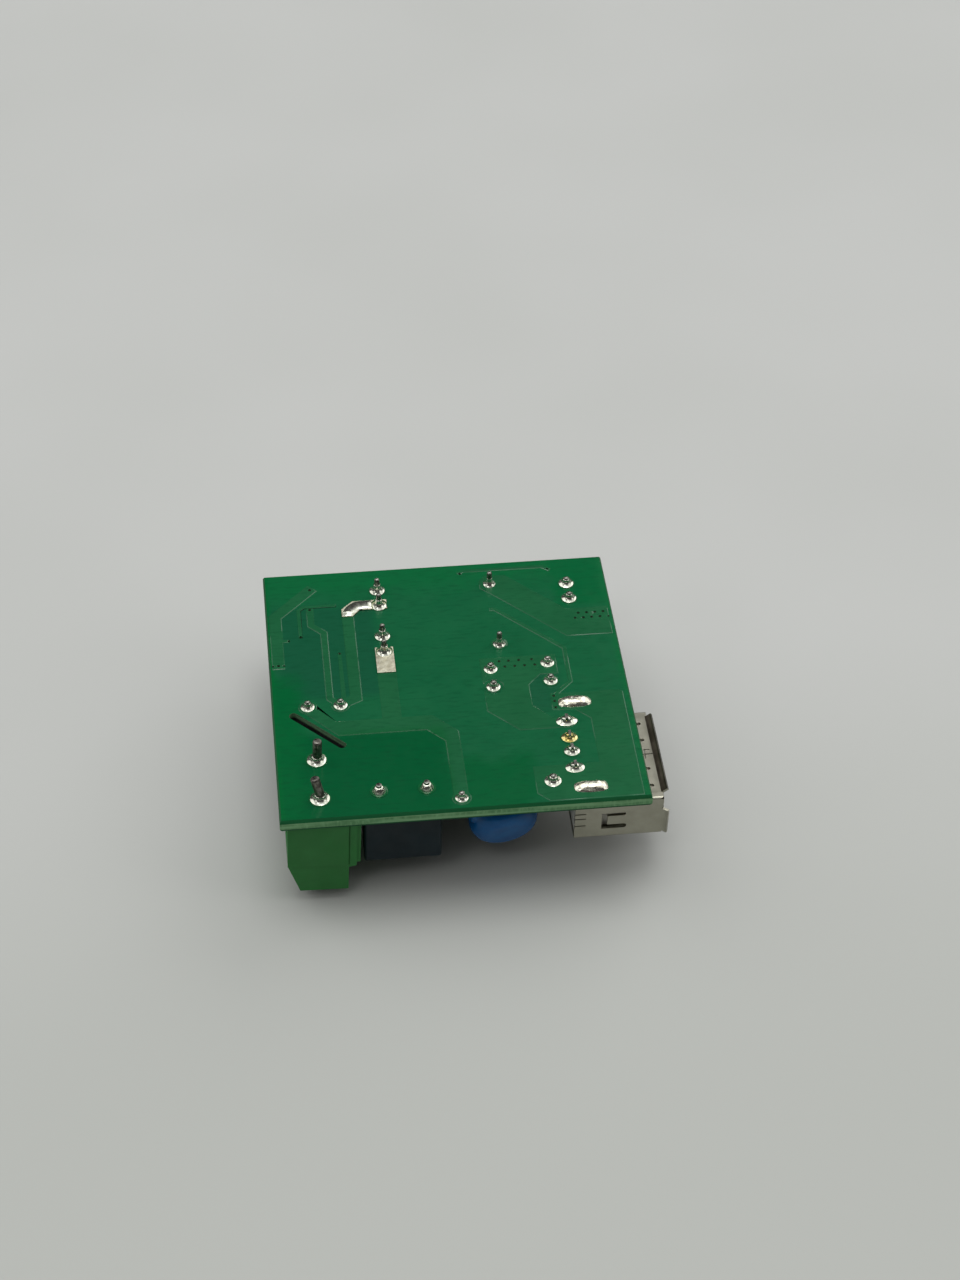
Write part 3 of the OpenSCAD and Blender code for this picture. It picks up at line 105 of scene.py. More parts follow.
class Sheet:
    """A node tree, with short calls for the nodes used here."""

    def __init__(self, tree: bpy.types.NodeTree) -> None:
        """Work on a tree."""
        self.tree = tree

    def feed(self, target: Socket, value: Value | tuple) -> None:
        """Link a socket to the target, or set the target to a plain value."""
        if isinstance(value, Socket):
            self.tree.links.new(value, target)
        else:
            target.default_value = value

    def node(self, kind: str, links: dict | None = None, **settings: object) -> bpy.types.Node:
        """Add a node, set its properties and feed its inputs by name or number."""
        made = self.tree.nodes.new(kind)
        for key, value in settings.items():
            setattr(made, key, value)
        for key, value in (links or {}).items():
            self.feed(made.inputs[key], value)
        return made

    def maths(self, operation: str, a: Value, b: Value = 0.0) -> Socket:
        """Combine two numbers."""
        return self.node("ShaderNodeMath", {0: a, 1: b}, operation=operation).outputs[0]

    def axes(self, place: Socket) -> bpy.types.NodeOutputs:
        """Split a place into an output for each axis."""
        return self.node("ShaderNodeSeparateXYZ", {0: place}).outputs

    def span(self, value: Socket, low: float, high: float, *to: float) -> Socket:
        """Map a range of values to another, or to 0 to 1, smoothly and held at its ends."""
        ends = zip(("From Min", "From Max", "To Min", "To Max"), (low, high, *(to or (0.0, 1.0))))
        links = {"Value": value, **dict(ends)}
        made = self.node("ShaderNodeMapRange", links, interpolation_type="SMOOTHSTEP")
        return made.outputs["Result"]


class ShaderSheet(Sheet):
    """A material's node tree."""

    def __init__(self, name: str) -> None:
        """Start a material with a Principled shader and object coordinates."""
        self.material = bpy.data.materials.new(name)
        self.material.use_nodes = True
        super().__init__(self.material.node_tree)
        self.shader = self.tree.nodes["Principled BSDF"]
        self.place = self.node("ShaderNodeTexCoord").outputs["Object"]

    def noise(self, size_mm: float, detail: float = 3, stretch: Triple | None = None) -> Socket:
        """Noise with features of about the given size, from 0 to 1.

        Args:
            size_mm: size of the features.
            detail: how many finer layers it has.
            stretch: scales of the coordinates, or none.

        Returns:
            The noise.
        """
        place = self.place
        if stretch:
            links = {"Vector": place, "Scale": stretch}
            place = self.node("ShaderNodeMapping", links).outputs[0]
        links = {"Vector": place, "Scale": 1 / (size_mm * MM), "Detail": detail}
        links["Roughness"] = NOISE_ROUGHNESS
        return self.node("ShaderNodeTexNoise", links).outputs["Fac"]

    def blend(self, share: Value, a: Socket | tuple, b: Socket | tuple) -> Socket:
        """Mix two colours."""
        links = {"Factor": share, 6: a, 7: b}
        return self.node("ShaderNodeMix", links, data_type="RGBA").outputs[2]

    def bump(self, heights: list[tuple[Socket, float]]) -> None:
        """Raise the surface by each height, given with its depth in millimetres."""
        links: dict[str, Value] = {}
        for height, depth_mm in heights:
            links |= {"Distance": depth_mm * MM, "Height": height}
            links["Normal"] = self.node("ShaderNodeBump", links).outputs[0]
        self.feed(self.shader.inputs["Normal"], links["Normal"])

    def set(self, **values: Value | tuple) -> None:
        """Feed the shader's inputs, named with underscores for spaces."""
        for key, value in values.items():
            self.feed(self.shader.inputs[key.replace("_", " ")], value)


class Grain(Enum):
    """How a finish's fine relief runs."""

    EVEN = (1.0, 1.0, 1.0)
    ALONG_X = (0.06, 1.0, 1.0)
    ALONG_Y = (1.0, 0.06, 1.0)
    UPRIGHT = (1.0, 1.0, 0.06)


@dataclass(frozen=True)
class Surface:
    """What every finish has: a name, and a material that is built once."""

    name: str

    @property
    def label(self) -> str:
        """Name of the finish's material."""
        return "finish_" + self.name

    def material(self) -> Material:
        """Build the material, or return it if it is there already."""
        return bpy.data.materials.get(self.label) or self.build()

    def build(self) -> Material:
        """Build the node tree of the finish."""
        raise NotImplementedError


@dataclass(frozen=True)
class Finish(Surface):
    """A surface with two near colours in patches, uneven gloss and a fine grain."""

    colour: Colour
    patch: Colour
    roughness: float
    metallic: float = 0.0
    patch_mm: float = 3.0
    spread: float = 0.06
    grain: Grain = Grain.EVEN
    grain_mm: float = 0.1
    grain_depth_mm: float = 0.004
    wave_mm: float = 2.0
    wave_depth_mm: float = 0.0
    coat: float = 0.0
    coat_roughness: float = 0.15
    specular: float = 0.5
    gloss_share: float = 0.6

    def build(self) -> Material:
        """Build the node tree: patches, uneven gloss, grain and waves."""
        sheet = ShaderSheet(self.label)
        fine = sheet.noise(self.grain_mm, 3, self.grain.value)
        patches = sheet.span(sheet.noise(self.patch_mm, 4), *PATCH_TURN)
        low, high = max(self.roughness - self.spread, 0.02), min(self.roughness + self.spread, 1.0)
        gloss = sheet.noise(self.patch_mm * self.gloss_share, 3)
        sheet.set(
            Base_Color=sheet.blend(patches, linear(self.colour), linear(self.patch)),
            Roughness=sheet.span(gloss, *GLOSS_TURN, low, high),
            Metallic=self.metallic,
            Coat_Weight=self.coat,
            Coat_Roughness=self.coat_roughness,
            Specular_IOR_Level=self.specular,
        )
        heights = [(fine, self.grain_depth_mm)]
        if self.wave_depth_mm:
            heights.append((sheet.noise(self.wave_mm, 2), self.wave_depth_mm))
        sheet.bump(heights)
        return sheet.material


@dataclass(frozen=True)
class Zone:
    """A rectangle of the board, in millimetres from its middle, with a colour of its own."""

    low: Pair
    high: Pair
    colour: Colour
    soft: float


@dataclass(frozen=True)
class MaskFinish(Surface):
    """Glossy solder mask, tinted by what lies under it."""

    colour: Colour
    patch: Colour
    zones: tuple[Zone, ...]
    middle: Pair
    roughness: float = 0.13
    gloss_spread: Pair = (-0.02, 0.03)
    gloss_mm: float = 1.2
    specular: float = 0.32
    patch_mm: float = 5.0
    border_mm: float = 3.0
    border_share: float = 1.2
    streak: Colour = (4, 62, 36)
    streak_mm: float = 0.55
    streak_run: Triple = (0.35, 1.5, 1.0)
    streak_turn: Pair = (0.45, 0.75)
    streak_share: float = 0.3
    wave_mm: float = 1.6
    wave_run: Triple = (0.45, 1.6, 1.0)
    wave_depth_mm: float = 0.003
    pit_mm: float = 0.22
    pit_depth_mm: float = 0.0012

    def build(self) -> Material:
        """Build the node tree: zones over patches, streaks and waves of the film, and pits."""
        sheet = ShaderSheet(self.label)
        axes = sheet.axes(sheet.place)
        patches = sheet.span(sheet.noise(self.patch_mm, 4), *PATCH_TURN)
        tint = sheet.blend(patches, linear(self.colour), linear(self.patch))
        for zone in self.zones:
            tint = sheet.blend(self.cover(sheet, axes, zone), tint, linear(zone.colour))
        streaks = sheet.noise(self.streak_mm, 3, self.streak_run)
        streaks = sheet.span(streaks, *self.streak_turn, 0.0, self.streak_share)
        waves = sheet.noise(self.wave_mm, 2, self.wave_run)
        low, high = (self.roughness + more for more in self.gloss_spread)
        sheet.set(
            Base_Color=sheet.blend(streaks, tint, linear(self.streak)),
            Roughness=sheet.span(sheet.noise(self.gloss_mm, 4), *GLOSS_TURN, low, high),
            Specular_IOR_Level=self.specular,
        )
        sheet.bump([(waves, self.wave_depth_mm), (sheet.noise(self.pit_mm, 2), self.pit_depth_mm)])
        return sheet.material

    def cover(self, sheet: ShaderSheet, axes: bpy.types.NodeOutputs, zone: Zone) -> Socket:
        """Where a zone lies, from 0 outside it to 1 inside, with a soft uneven border.

        Args:
            sheet: the material's node tree.
            axes: the coordinates of the shaded point.
            zone: the zone.

        Returns:
            The zone's share of the colour.
        """
        uneven = sheet.maths("SUBTRACT", sheet.noise(self.border_mm, 3), 0.5)
        wobble = sheet.maths("MULTIPLY", uneven, self.border_share * zone.soft * MM)
        share: Value = 1.0
        for axis in (0, 1):
            here = sheet.maths("ADD", axes[axis], wobble)
            low = (zone.low[axis] + self.middle[axis]) * MM
            high = (zone.high[axis] + self.middle[axis]) * MM
            half = zone.soft * MM / 2
            past_low = sheet.span(here, low - half, low + half)
            before_high = sheet.span(here, high - half, high + half, 1.0, 0.0)
            share = sheet.maths("MULTIPLY", share, past_low)
            share = sheet.maths("MULTIPLY", share, before_high)
        return share


@dataclass(frozen=True)
class LaminateEdge(Surface):
    """Bare woven glass laminate: pale layers with a darker line between them.

    Where the heights of a painted shade are given, the wall is painted dark from the second height
    down to the first, as shade deep in a narrow hole.
    """

    face: Colour
    layer: Colour
    painted_shade_heights_mm: Pair | None = None
    painted_shade_colour: Colour = (6, 12, 8)
    roughness: float = 0.62
    specular: float = 0.2
    yarn_mm: float = 0.35
    yarn_run: Triple = (1.0, 1.0, 0.25)
    yarn_turn: Pair = (0.25, 0.6)
    yarn_depth_mm: float = 0.01
    layer_mm: float = 0.42
    layer_run: Triple = (0.05, 0.05, 1.0)
    layer_turn: Pair = (0.4, 0.6)
    layer_depth_mm: float = 0.008

    def build(self) -> Material:
        """Build the node tree: level layers, broken up by the ends of the glass yarns."""
        sheet = ShaderSheet(self.label)
        yarn = sheet.noise(self.yarn_mm, 4, self.yarn_run)
        layers = sheet.noise(self.layer_mm, 2, self.layer_run)
        dark, broken = sheet.span(layers, *self.layer_turn), sheet.span(yarn, *self.yarn_turn)
        mix = sheet.maths("MULTIPLY", dark, broken)
        tint = sheet.blend(mix, linear(self.face), linear(self.layer))
        # Painted shade: the wall of a hole darkens towards its bottom, where little light reaches.
        if self.painted_shade_heights_mm:
            low, high = (height * MM for height in self.painted_shade_heights_mm)
            lit = sheet.span(sheet.axes(sheet.place)["Z"], low, high)
            tint = sheet.blend(lit, linear(self.painted_shade_colour), tint)
        sheet.set(Base_Color=tint, Roughness=self.roughness, Specular_IOR_Level=self.specular)
        sheet.bump([(yarn, self.yarn_depth_mm), (layers, self.layer_depth_mm)])
        return sheet.material


class Finishes:
    """Every finish on the board, by what it is: its name, its two colours, its roughness."""

    SOLDER = Finish("solder", (232, 234, 218), (204, 206, 190), 0.2, metallic=1.0, patch_mm=0.8,
        spread=0.05, grain_mm=0.12, grain_depth_mm=0.0012, wave_mm=0.7, wave_depth_mm=0.01)
    GOLDEN = Finish("solder_golden", (232, 218, 158), (206, 184, 104), 0.2, metallic=1.0,
        patch_mm=0.5, spread=0.05, grain_mm=0.12, grain_depth_mm=0.0012, wave_mm=0.7,
        wave_depth_mm=0.01)
    LUMPY = Finish("solder_lumpy", (240, 240, 222), (214, 206, 186), 0.28, metallic=1.0,
        patch_mm=0.5, spread=0.08, grain_mm=0.15, grain_depth_mm=0.006, wave_mm=0.5,
        wave_depth_mm=0.05)
    TIN = Finish("tin", (228, 224, 202), (202, 196, 172), 0.42, metallic=1.0, patch_mm=0.6,
        spread=0.05, grain_mm=0.25, grain_depth_mm=0.003, wave_mm=1.6, wave_depth_mm=0.02)
    WIRE = Finish("lead_wire", (150, 150, 142), (112, 112, 104), 0.3, metallic=1.0, patch_mm=0.5,
        spread=0.08, grain=Grain.UPRIGHT, grain_mm=0.08)
    PIN = Finish("terminal_pin", (132, 130, 122), (84, 82, 76), 0.36, metallic=1.0, patch_mm=0.5,
        spread=0.1, grain=Grain.UPRIGHT, grain_depth_mm=0.008)
    GREEN = Finish("terminal_green", (48, 124, 60), (43, 115, 54), 0.55, patch_mm=4.0,
        grain_mm=0.12, specular=0.25)
    BRASS = Finish("cage_brass", (206, 182, 120), (182, 156, 96), 0.3, metallic=1.0, patch_mm=1.0,
        spread=0.08, grain=Grain.ALONG_X)
    STEEL = Finish("screw_steel", (184, 184, 182), (150, 150, 148), 0.32, metallic=1.0,
        patch_mm=0.8, spread=0.08, grain_depth_mm=0.006)
    FUSE = Finish("fuse_black", (14, 33, 40), (11, 28, 34), 0.5, grain_depth_mm=0.006,
        specular=0.22)
    BLUE = Finish("dipped_blue", (0, 90, 150), (0, 80, 138), 0.22, spread=0.05, grain_mm=0.3,
        grain_depth_mm=0.002, wave_mm=1.8, wave_depth_mm=0.02, specular=0.25)
    BOBBIN = Finish("bobbin_black", (40, 40, 42), (32, 32, 34), 0.5, grain_mm=0.12,
        grain_depth_mm=0.006)
    FERRITE = Finish("ferrite", (58, 58, 62), (46, 46, 50), 0.48, patch_mm=1.5, spread=0.08,
        grain_depth_mm=0.012)
    COPPER = Finish("winding_copper", (176, 92, 46), (150, 74, 36), 0.26, metallic=1.0,
        patch_mm=1.0, grain_depth_mm=0.002)
    TAPE = Finish("yellow_tape", (222, 186, 62), (210, 172, 50), 0.3, grain_mm=0.4,
        grain_depth_mm=0.006, wave_depth_mm=0.03)
    CAN = Finish("drawn_can", (206, 207, 208), (186, 187, 188), 0.3, metallic=1.0, patch_mm=1.5,
        grain_depth_mm=0.003)
    SLEEVE = Finish("dark_sleeve", (32, 36, 46), (28, 31, 40), 0.28, spread=0.05, grain_mm=0.4,
        wave_depth_mm=0.01)
    STRIPE = Finish("sleeve_stripe", (176, 182, 190), (164, 170, 178), 0.3, spread=0.05,
        grain_mm=0.4)
    RUBBER = Finish("seal_rubber", (44, 40, 36), (36, 33, 30), 0.75, patch_mm=1.5, grain_mm=0.15,
        grain_depth_mm=0.012)
    SHELL = Finish("nickel_shell", (164, 162, 148), (152, 150, 136), 0.38, metallic=1.0,
        spread=0.04, grain=Grain.ALONG_X, grain_mm=0.2, grain_depth_mm=0.0004, wave_mm=4.5,
        wave_depth_mm=0.002)
    # Painted dark reflection: the flared lips get a dark metal colour that stands in for the dark
    # room mirrored in them.
    PAINTED_DARK_LIP = Finish("flared_lip_painted_dark", (84, 78, 68), (62, 57, 48), 0.32, metallic=1.0, patch_mm=2.0,
        spread=0.04, grain=Grain.ALONG_Y, grain_mm=0.2, grain_depth_mm=0.0006)
    WHITE = Finish("insulator_white", (226, 224, 216), (216, 213, 204), 0.5, spread=0.05,
        grain_mm=0.2)
    GOLD = Finish("contact_gold", (212, 176, 96), (194, 156, 78), 0.24, metallic=1.0, patch_mm=0.8,
        spread=0.05, grain=Grain.ALONG_X, grain_mm=0.08, grain_depth_mm=0.002)
    MOULDED = Finish("moulded_black", (36, 36, 38), (30, 30, 32), 0.6, patch_mm=2.0, grain_mm=0.08,
        grain_depth_mm=0.012)
    CERAMIC = Finish("fired_ceramic", (168, 142, 110), (156, 130, 100), 0.5, patch_mm=1.0,
        grain_depth_mm=0.006)
    RESISTOR = Finish("resistor_coat", (30, 32, 38), (26, 27, 32), 0.3, patch_mm=1.0, spread=0.05,
        grain_mm=0.2)
    LENS = Finish("tinted_lens", (196, 44, 34), (186, 36, 28), 0.12, patch_mm=2.0, spread=0.03,
        grain_mm=0.4, grain_depth_mm=0.001, coat=0.3)
    EDGE = LaminateEdge("laminate_edge", (126, 174, 126), (90, 140, 94))
    SCORE = LaminateEdge("laminate_score", (14, 88, 48), (10, 80, 42))
    # The routed slot's walls carry painted shade, dark towards the bottom of the slot.
    ROUTED = LaminateEdge("laminate_routed_painted_shade", (112, 146, 112), (80, 112, 84), (12.8, 13.15))


# ---- mesh building


def placed(name: str, data: bpy.types.ID) -> Piece:
    """Add an object with its data to the scene."""
    made = bpy.data.objects.new(name, data)
    bpy.context.scene.collection.objects.link(made)
    return made


def add_piece(
    name: str, mesh: Mesh, finishes: list[Surface], slot: str, *replaces: str
) -> Piece:
    """Make a mesh a piece of the board.

    Args:
        name: the piece's name.
        mesh: its mesh, in the shared frame.
        finishes: the finishes of its material slots, in order.
        slot: the record's material slot that it belongs to; not used.
        replaces: the CAD nodes that it stands for.

    Returns:
        The new object.
    """
    mesh.name = name
    for finish in finishes:
        mesh.materials.append(finish.material())
    piece = placed(name, mesh)
    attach(piece, ROOT)
    if replaces:
        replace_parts(piece, *replaces)
    LOG.info("%s: %d faces", name, len(mesh.polygons))
    return piece


def welded(node: str) -> BMesh:
    """A CAD node's solids, with their points joined."""
    made = bmesh.new()
    made.from_mesh(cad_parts[node].data)
    bmesh.ops.remove_doubles(made, verts=made.verts, dist=WELD_MM * MM)
    return made


def merged(node: str) -> BMesh:
    """A CAD node's solids as joined faces, with flat areas dissolved to single faces."""
    made = welded(node)
    for layer in list(made.loops.layers.uv):
        made.loops.layers.uv.remove(layer)
    flat = math.radians(FLAT_DEG)
    bmesh.ops.dissolve_limit(made, angle_limit=flat, verts=made.verts, edges=made.edges)
    return made


def modified(mesh: Mesh, kind: str, **settings: object) -> Mesh:
    """Run one modifier on a mesh and return the result in its place.

    Args:
        mesh: the mesh, which is removed.
        kind: the modifier's type.
        settings: its properties.

    Returns:
        A mesh with real faces.
    """
    holder = placed("holder", mesh)
    modifier = holder.modifiers.new("only", kind)
    for key, value in settings.items():
        setattr(modifier, key, value)
    graph = bpy.context.evaluated_depsgraph_get()
    done = bpy.data.meshes.new_from_object(holder.evaluated_get(graph), depsgraph=graph)
    bpy.data.objects.remove(holder)
    bpy.data.meshes.remove(mesh)
    return done


def finish_mesh(made: BMesh, smooth_deg: float = 38) -> Mesh:
    """Turn joined faces into a mesh that is smooth up to an angle between faces.

    The large flat faces rule its shading, so that only the eased edges look round.
    """
    mesh = bpy.data.meshes.new("copy")
    made.normal_update()
    made.to_mesh(mesh)
    made.free()
    mesh.shade_smooth()
    mesh.set_sharp_from_angle(angle=math.radians(smooth_deg))
    return modified(mesh, "WEIGHTED_NORMAL", mode="FACE_AREA", weight=100, keep_sharp=True)


def swept(rings: list[list[Vector]]) -> BMesh:
    """Join rings of points into one closed form, with a cap at both ends."""
    made = bmesh.new()
    loops = [[made.verts.new(point) for point in ring] for ring in rings]
    for a, b in zip(loops, loops[1:]):
        for j in range(len(a)):
            made.faces.new((a[j - 1], a[j], b[j], b[j - 1]))
    made.faces.new(loops[0])
    made.faces.new(loops[-1][::-1])
    bmesh.ops.recalc_face_normals(made, faces=made.faces)
    return made


def folded(edge: bmesh.types.BMEdge, from_deg: float) -> bool:
    """Whether two faces meet at an edge at more than an angle."""
    return len(edge.link_faces) == 2 and edge.calc_face_angle(0) > math.radians(from_deg)


def round_edges(made: BMesh, edges: list, width_mm: float, segments: int) -> None:
    """Round off the given edges, in place."""
    bmesh.ops.bevel(
        made, geom=edges, offset=width_mm * MM, segments=segments, profile=0.5, affect="EDGES",
        clamp_overlap=True,
    )


def ease_edges(made: BMesh, width_mm: float, segments: int = 2, from_deg: float = 35) -> None:
    """Round off every edge sharper than an angle, in place."""
    round_edges(made, [e for e in made.edges if folded(e, from_deg)], width_mm, segments)


def eased(node: str, width_mm: float, finish: Finish, slot: str, segments: int = 2) -> Piece:
    """Stand a copy with rounded edges in for a CAD node.

    Args:
        node: the CAD node's name.
        width_mm: how far each edge is rounded.
        finish: the copy's finish.
        slot: the record's material slot.
        segments: faces across a rounded edge.

    Returns:
        The new piece.
    """
    made = merged(node)
    ease_edges(made, width_mm, segments)
    return add_piece(node + "_eased", finish_mesh(made), [finish], slot, node)


def round_leads(node: str) -> Piece:
    """Stand a copy whose wires end in round tips in for a CAD node of leads."""
    return eased(node, TIP_MM, Finishes.WIRE, "lead_wire", TIP_SEGMENTS)


def dress(node: str, finish: Finish) -> None:
    """Give a CAD node its finish and keep its shape."""
    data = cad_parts[node].data
    data.materials.clear()
    data.materials.append(finish.material())


def clusters(items: Iterable, near: Callable) -> list[set]:
    """Group the items that hang together.

    Args:
        items: points or faces of a mesh.
        near: gives an item's neighbours.

    Returns:
        The groups.
    """
    left, found = set(items), []
    while left:
        group, queue = set(), [left.pop()]
        while queue:
            item = queue.pop()
            group.add(item)
            fresh = left.intersection(near(item))
            left -= fresh
            queue.extend(fresh)
        found.append(group)
    return found


def islands(node: str) -> list[tuple[Vector, Vector]]:
    """Lowest and highest corner of each separate solid in a CAD node."""
    made = welded(node)
    found = []
    for verts in clusters(made.verts, lambda v: [e.other_vert(v) for e in v.link_edges]):
        low = Vector([min(v.co[i] for v in verts) for i in range(3)])
        high = Vector([max(v.co[i] for v in verts) for i in range(3)])
        found.append((low, high))
    made.free()
    return sorted(found, key=lambda box: (round(box[0].x, 6), round(box[0].y, 6)))


# ---- repeated shapes


class NodeSheet(Sheet):
    """A Geometry Nodes tree."""

    def __init__(self, name: str, inputs: dict[str, float | int]) -> None:
        """Start a tree with a geometry input and output and named sizes."""
        super().__init__(bpy.data.node_groups.new(name, "GeometryNodeTree"))
        face = self.tree.interface
        for way in ("INPUT", "OUTPUT"):
            face.new_socket("Geometry", in_out=way, socket_type="NodeSocketGeometry")
        for label, value in inputs.items():
            kind = "NodeSocketInt" if isinstance(value, int) else "NodeSocketFloat"
            socket = face.new_socket(label, in_out="INPUT", socket_type=kind)
            socket.default_value = value
        self.given = self.node("NodeGroupInput").outputs

    def step(self, kind: str, geometry: Socket, **links: object) -> Socket:
        """Run geometry through one node."""
        return self.node("GeometryNode" + kind, {"Geometry": geometry, **links}).outputs[0]

    def close(self, geometry: Socket, material: Material) -> None:
        """End the tree: real faces, shaded smooth, with their material."""
        smooth = self.step("SetShadeSmooth", self.step("RealizeInstances", geometry))
        self.node("NodeGroupOutput", {0: self.step("SetMaterial", smooth, Material=material)})


@dataclass
class JointField:
    """Solder joints of one kind: a flared foot that climbs each lead, no two quite alike."""

    name: str
    node: str
    neck: float
    flare: float
    waist: float = 0.0
    square: float = 1.0
    ridge: float = 1.0
    rise: float = 1.0
    unevenness_mm: float = 0.022
    seed: int = 3
    finish: Finish = Finishes.SOLDER
    pads: list[tuple[Vector, Vector]] = field(default_factory=list)
    sides: int = 40
    levels: int = 14
    stir_per_m: float = 1700.0
    stir_detail: float = 1.5

    def tree(self) -> NodeSheet:
        """Build the tree that grows one joint on each point."""
        inputs = {
            "Neck": self.neck, "Flare": self.flare, "Waist": self.waist, "Square": self.square,
            "Ridge": self.ridge, "Unevenness": self.unevenness_mm * MM * 2, "Seed": self.seed,
        }
        sheet = NodeSheet(self.name + "_tree", inputs)
        sized = sheet.node(
            "GeometryNodeInputNamedAttribute", {"Name": "size"}, data_type="FLOAT_VECTOR"
        ).outputs[0]
        links = {"Points": sheet.given["Geometry"], "Instance": self.one(sheet), "Scale": sized}
        spread = sheet.node("GeometryNodeInstanceOnPoints", links).outputs[0]
        real = sheet.step("RealizeInstances", spread)
        stirred = sheet.step("SetPosition", real, Offset=self.stir(sheet))
        sheet.close(stirred, self.finish.material())
        return sheet

    def one(self, sheet: NodeSheet) -> Socket:
        """Shape one joint of unit size from a cylinder.

        Its radius falls from 1 at the foot to the neck. The waist pinches it in the middle of
        its length, a low square makes it fuller, and a low ridge leaves its top long.

        Args:
            sheet: the tree.

        Returns:
            The joint's faces.
        """
        given, maths = sheet.given, sheet.maths
        stem = sheet.node(
            "GeometryNodeMeshCylinder",
            {"Vertices": self.sides, "Side Segments": self.levels, "Radius": 1.0, "Depth": 1.0},
            fill_type="NGON",
        ).outputs["Mesh"]
        axes = sheet.axes(sheet.node("GeometryNodeInputPosition").outputs[0])
        rise = maths("ADD", axes[2], 0.5)
        fall = maths("POWER", maths("SUBTRACT", 1.0, rise), given["Flare"])
        reach = maths("MULTIPLY", fall, maths("SUBTRACT", 1.0, given["Neck"]))
        radius = maths("ADD", given["Neck"], reach)
        off_middle = maths("MULTIPLY", axes[0], axes[0])
        pinch = maths("MULTIPLY", maths("SUBTRACT", 1.0, off_middle), given["Waist"])
        fuller = maths("POWER", maths("ABSOLUTE", axes[1]), given["Square"])
        signed = maths("MULTIPLY", fuller, maths("SIGN", axes[1]))
        narrow = maths("SUBTRACT", 1.0, pinch)
        wide_y = maths("MULTIPLY", signed, maths("MULTIPLY", radius, narrow))
        drawn_in = maths("MULTIPLY", maths("SUBTRACT", 1.0, radius), given["Ridge"])
        wide_x = maths("MULTIPLY", axes[0], maths("SUBTRACT", 1.0, drawn_in))
        curved = sheet.node("ShaderNodeCombineXYZ", {0: wide_x, 1: wide_y, 2: rise}).outputs[0]
        return sheet.step("SetPosition", stem, Position=curved)

    def stir(self, sheet: NodeSheet) -> Socket:
        """Small uneven offsets for the joints' points."""
        seed, amount = sheet.given["Seed"], sheet.given["Unevenness"]
        links = {"Scale": self.stir_per_m, "Detail": self.stir_detail, "W": seed}
        noise = sheet.node("ShaderNodeTexNoise", links, noise_dimensions="4D").outputs["Color"]
        push = sheet.node("ShaderNodeVectorMath", {0: noise, 1: (0.5,) * 3}, operation="SUBTRACT")
        links = {0: push.outputs[0], "Scale": amount}
        return sheet.node("ShaderNodeVectorMath", links, operation="SCALE").outputs[0]

    def build(self, board_top: float) -> Piece:
        """Grow the joints on the pads of a CAD node and stand them in for it.

        Args:
            board_top: height of the solder side, in metres.

        Returns:
            The new piece.
        """
        boxes = self.pads or islands(self.node)
        start = bpy.data.meshes.new(self.name + "_points")
        top = Vector((0, 0, board_top))
        start.from_pydata([((low + high) / 2).xy.to_3d() + top for low, high in boxes], [], [])
        sizes = start.attributes.new("size", "FLOAT_VECTOR", "POINT")
        for i, (low, high) in enumerate(boxes):
            half = (high - low) / 2
            sizes.data[i].vector = (half.x, half.y, (high.z - board_top) * self.rise)
        mesh = modified(start, "NODES", node_group=self.tree().tree)
        stands_for = () if self.pads else (self.node,)
        return add_piece(self.name, mesh, [self.finish], "solder", *stands_for)


# ---- the board


class BoardFace(IntEnum):
    """Material slots of the laminate."""

    MASK = 0
    EDGE = 1
    SCORE = 2
    ROUTED = 3


